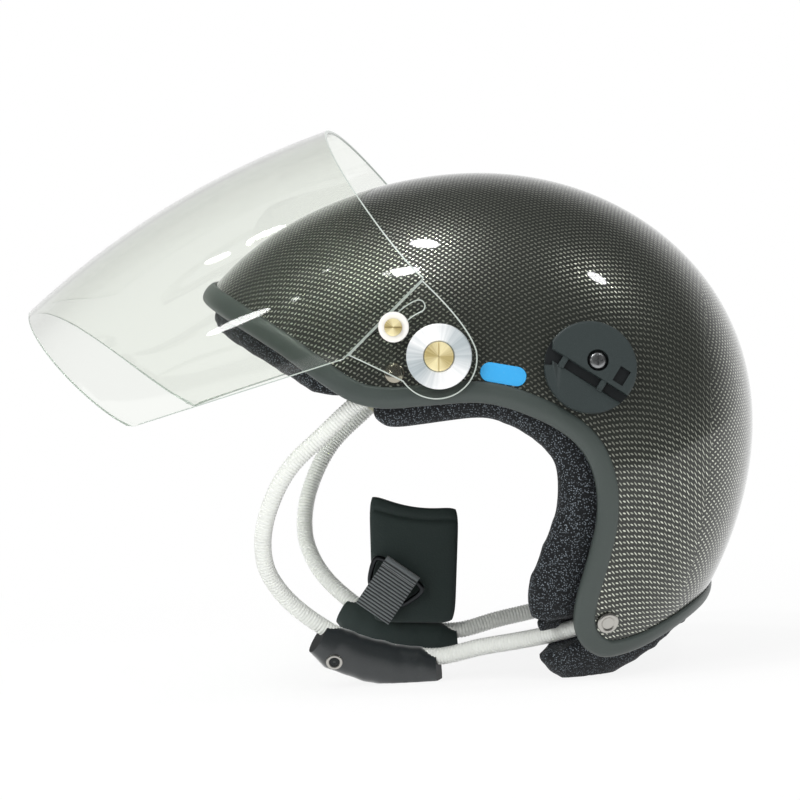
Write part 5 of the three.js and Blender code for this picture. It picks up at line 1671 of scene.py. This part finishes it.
# Kept fastenings


KEPT = {"pivot_spacer": "nylon", "pivot_nut": "steel", "stop_post": "nylon",
        "headset_nut": "steel", "hoop_core": "steel"}


def dress_kept_nodes():
    for _, word in SIDES:
        for name, look in KEPT.items():
            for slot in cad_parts[f"{word}_{name}"].material_slots:
                slot.material = finishes()[look]


# Stage


def floor_material(colours):
    """Seamless white studio paper: plain, matt, with the helmet's soft shadow near it. In what
    is mirrored it ends before the helmet, where the room is dim."""
    material, tree, shader = new_material("matt studio paper", roughness=0.9)
    shader.inputs["Base Color"].default_value = colours.floor
    shader.inputs["Specular IOR Level"].default_value = 0.1
    path = add_node(tree, "ShaderNodeLightPath")
    seen = add_node(tree, "ShaderNodeMath",
                    {0: path.outputs["Is Camera Ray"], 1: path.outputs["Is Glossy Ray"]},
                    operation="MAXIMUM").outputs[0]
    seen = add_node(tree, "ShaderNodeMath", {0: seen, 1: path.outputs["Is Transmission Ray"]},
                    operation="MAXIMUM").outputs[0]
    where = add_node(tree, "ShaderNodeTexCoord").outputs["Object"]
    far = add_node(tree, "ShaderNodeVectorMath", {0: where}, operation="LENGTH").outputs[1]
    paper = add_node(tree, "ShaderNodeMapRange", {0: far, 1: 0.25, 2: 0.6, 3: 0.86, 4: 1.0},
                     interpolation_type="SMOOTHSTEP").outputs[0]
    share = add_node(tree, "ShaderNodeMath", {0: seen, 1: paper}, operation="MULTIPLY").outputs[0]
    bounced = add_node(tree, "ShaderNodeMath", {0: path.outputs["Glossy Depth"], 1: 1.0},
                       operation="MINIMUM").outputs[0]
    ahead = add_node(tree, "ShaderNodeSeparateXYZ", {0: where}).outputs[1]
    dim = add_node(tree, "ShaderNodeMapRange", {0: ahead, 1: -1.9, 2: -0.8, 3: 0.15, 4: 1.0},
                   interpolation_type="SMOOTHSTEP").outputs[0]
    strength = add_node(tree, "ShaderNodeMix", {0: bounced, 2: 1.0, 3: dim},
                        data_type="FLOAT").outputs[0]
    glow = add_node(tree, "ShaderNodeEmission", {0: (1, 1, 1, 1), 1: strength}).outputs[0]
    both = add_node(tree, "ShaderNodeMixShader", {0: share, 1: shader.outputs[0], 2: glow})
    tree.links.new(both.outputs[0], tree.nodes["Material Output"].inputs["Surface"])
    return material


def studio_world(light=0.75, ahead=0.1):
    """White all round for what is seen, a plain level of light, and for what is mirrored white
    paper low behind the helmet and a dim room above and before it."""
    world = bpy.data.worlds.new("studio")
    bpy.context.scene.world = world
    world.use_nodes = True
    tree = world.node_tree
    tree.nodes.clear()
    path = add_node(tree, "ShaderNodeLightPath")
    seen = add_node(tree, "ShaderNodeMath",
                    {0: path.outputs["Is Camera Ray"], 1: path.outputs["Is Transmission Ray"]},
                    operation="MAXIMUM").outputs[0]
    bounced = add_node(tree, "ShaderNodeMath", {0: path.outputs["Glossy Depth"], 1: 1.0},
                       operation="MINIMUM").outputs[0]
    where = add_node(tree, "ShaderNodeTexCoord").outputs["Generated"]
    parts = add_node(tree, "ShaderNodeSeparateXYZ", {0: where}).outputs
    low_behind = add_node(tree, "ShaderNodeMath", {0: parts[1], 1: parts[2]},
                          operation="SUBTRACT").outputs[0]
    room = add_node(tree, "ShaderNodeMapRange", {0: low_behind, 1: -0.1, 2: 1.0, 3: ahead, 4: 1.0},
                    interpolation_type="SMOOTHSTEP").outputs[0]
    direct = add_node(tree, "ShaderNodeMix", {0: seen, 2: light, 3: 1.0},
                      data_type="FLOAT").outputs[0]
    level = add_node(tree, "ShaderNodeMix", {0: bounced, 2: direct, 3: room},
                     data_type="FLOAT").outputs[0]
    glow = add_node(tree, "ShaderNodeBackground", {0: (1, 1, 1, 1), 1: level}).outputs[0]
    add_node(tree, "ShaderNodeOutputWorld", {0: glow})


def softbox(name, place, size, watts, mirrored):
    """A lamp that faces the helmet; only the small ones are seen in its coat, metal and visor."""
    lamp = bpy.data.lights.new(name, "AREA")
    lamp.shape = "ELLIPSE"
    lamp.size, lamp.size_y, lamp.energy = *size, watts
    thing = bpy.data.objects.new(name, lamp)
    thing.location = place
    aim = LAMPS_AIM - Vector(place)
    thing.rotation_euler = aim.to_track_quat("-Z", "Y").to_euler()
    thing.visible_glossy = mirrored
    thing.visible_transmission = mirrored
    bpy.context.scene.collection.objects.link(thing)


def build_stage():
    colours = bpy.context.scene.helmet_colours
    mesh = bpy.data.meshes.new("studio_floor")
    corners = [(x * FLOOR_REACH, y * FLOOR_REACH, 0)
               for x, y in ((-1, -1), (1, -1), (1, 1), (-1, 1))]
    mesh.from_pydata(corners, [], [(0, 1, 2, 3)])
    floor = bpy.data.objects.new("studio_floor", mesh)
    floor.location.z = -FLOOR_DROP
    mesh.materials.append(floor_material(colours))
    bpy.context.scene.collection.objects.link(floor)
    studio_world()
    for lamp in LAMPS:
        softbox(*lamp)


def build_camera():
    """The photograph's view: from the wearer's left, a little behind and above."""
    azimuth, elevation, distance = math.radians(5.2), math.radians(3.1), 2000.0
    back = Vector((math.sin(azimuth) * math.cos(elevation),
                   -math.cos(azimuth) * math.cos(elevation), math.sin(elevation)))
    right = Vector((math.cos(azimuth), math.sin(azimuth), 0))
    up = back.cross(right)
    target = Vector((-29.27, 0, -27.06))
    turn = Matrix.Rotation(REST_TILT, 3, "Y")
    camera = bpy.data.cameras.new("camera")
    camera.lens, camera.sensor_width = 180.0, 36.0
    camera.clip_start, camera.clip_end = 0.1, 50.0
    thing = bpy.data.objects.new("camera", camera)
    matrix = (turn @ Matrix((right, up, back)).transposed()).to_4x4()
    matrix.translation = DESIGN @ (target + back * distance)
    thing.matrix_world = matrix
    bpy.context.scene.collection.objects.link(thing)
    bpy.context.scene.camera = thing


# Operators


class HELMET_OT_stage(bpy.types.Operator):
    """Adds the studio floor, the soft lamps and the camera"""
    bl_idname = "helmet.stage"
    bl_label = "Studio"

    def execute(self, context):
        context.scene.view_settings.view_transform = "Standard"
        build_stage()
        build_camera()
        return {"FINISHED"}


class HELMET_OT_shell(bpy.types.Operator):
    """Builds the woven shell, its rubber edge and the foam liner"""
    bl_idname = "helmet.shell"
    bl_label = "Shell, edge and liner"

    def execute(self, context):
        build_shell()
        build_trim()
        build_liner()
        return {"FINISHED"}


class HELMET_OT_pads(bpy.types.Operator):
    """Builds the brow, ear, nape and crown pads"""
    bl_idname = "helmet.pads"
    bl_label = "Pads"

    def execute(self, context):
        build_rolls()
        build_crown_cushion()
        return {"FINISHED"}


class HELMET_OT_visor(bpy.types.Operator):
    """Builds the clear visor with its two arms"""
    bl_idname = "helmet.visor"
    bl_label = "Visor"

    def execute(self, context):
        build_visor()
        return {"FINISHED"}


class HELMET_OT_hardware(bpy.types.Operator):
    """Builds knobs, stop pins, studs and headset mounts, and finishes the kept fastenings"""
    bl_idname = "helmet.hardware"
    bl_label = "Hardware"

    def execute(self, context):
        build_pivots()
        build_rivets()
        build_mounts()
        dress_kept_nodes()
        return {"FINISHED"}


class HELMET_OT_hoops(bpy.types.Operator):
    """Builds the ribbed jaw sleeves and their leather covers"""
    bl_idname = "helmet.hoops"
    bl_label = "Jaw hoops"

    def execute(self, context):
        build_sleeves()
        build_covers()
        return {"FINISHED"}


class HELMET_OT_flap(bpy.types.Operator):
    """Builds the throat pad, its folded strap and ring"""
    bl_idname = "helmet.flap"
    bl_label = "Throat flap"

    def execute(self, context):
        build_flap()
        return {"FINISHED"}


class HELMET_OT_patch(bpy.types.Operator):
    """Lays the bare blue size patch on the left side"""
    bl_idname = "helmet.patch"
    bl_label = "Size patch"

    def execute(self, context):
        build_patch()
        return {"FINISHED"}


STEPS = (HELMET_OT_stage, HELMET_OT_shell, HELMET_OT_pads, HELMET_OT_visor,
         HELMET_OT_hardware, HELMET_OT_hoops, HELMET_OT_flap, HELMET_OT_patch)


class HELMET_PT_panel(bpy.types.Panel):
    bl_idname = "HELMET_PT_panel"
    bl_label = "Helmet"
    bl_space_type = "VIEW_3D"
    bl_region_type = "UI"
    bl_category = "Helmet"

    def draw(self, context):
        layout = self.layout
        for group in (context.scene.helmet_sizes, context.scene.helmet_colours):
            for key in group.bl_rna.properties.keys():
                if key not in ("rna_type", "name"):
                    layout.prop(group, key)
        for step in STEPS:
            layout.operator(step.bl_idname)


CLASSES = (HelmetSizes, HelmetColours, *STEPS, HELMET_PT_panel)


def register():
    for item in CLASSES:
        bpy.utils.register_class(item)
    bpy.types.Scene.helmet_sizes = bpy.props.PointerProperty(type=HelmetSizes)
    bpy.types.Scene.helmet_colours = bpy.props.PointerProperty(type=HelmetColours)


def unregister():
    del bpy.types.Scene.helmet_colours
    del bpy.types.Scene.helmet_sizes
    for item in reversed(CLASSES):
        bpy.utils.unregister_class(item)


def main():
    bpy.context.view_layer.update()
    register()
    for step in (bpy.ops.helmet.stage, bpy.ops.helmet.shell, bpy.ops.helmet.pads,
                 bpy.ops.helmet.visor, bpy.ops.helmet.hardware, bpy.ops.helmet.hoops,
                 bpy.ops.helmet.flap, bpy.ops.helmet.patch):
        step()


if __name__ == "__main__":
    main()
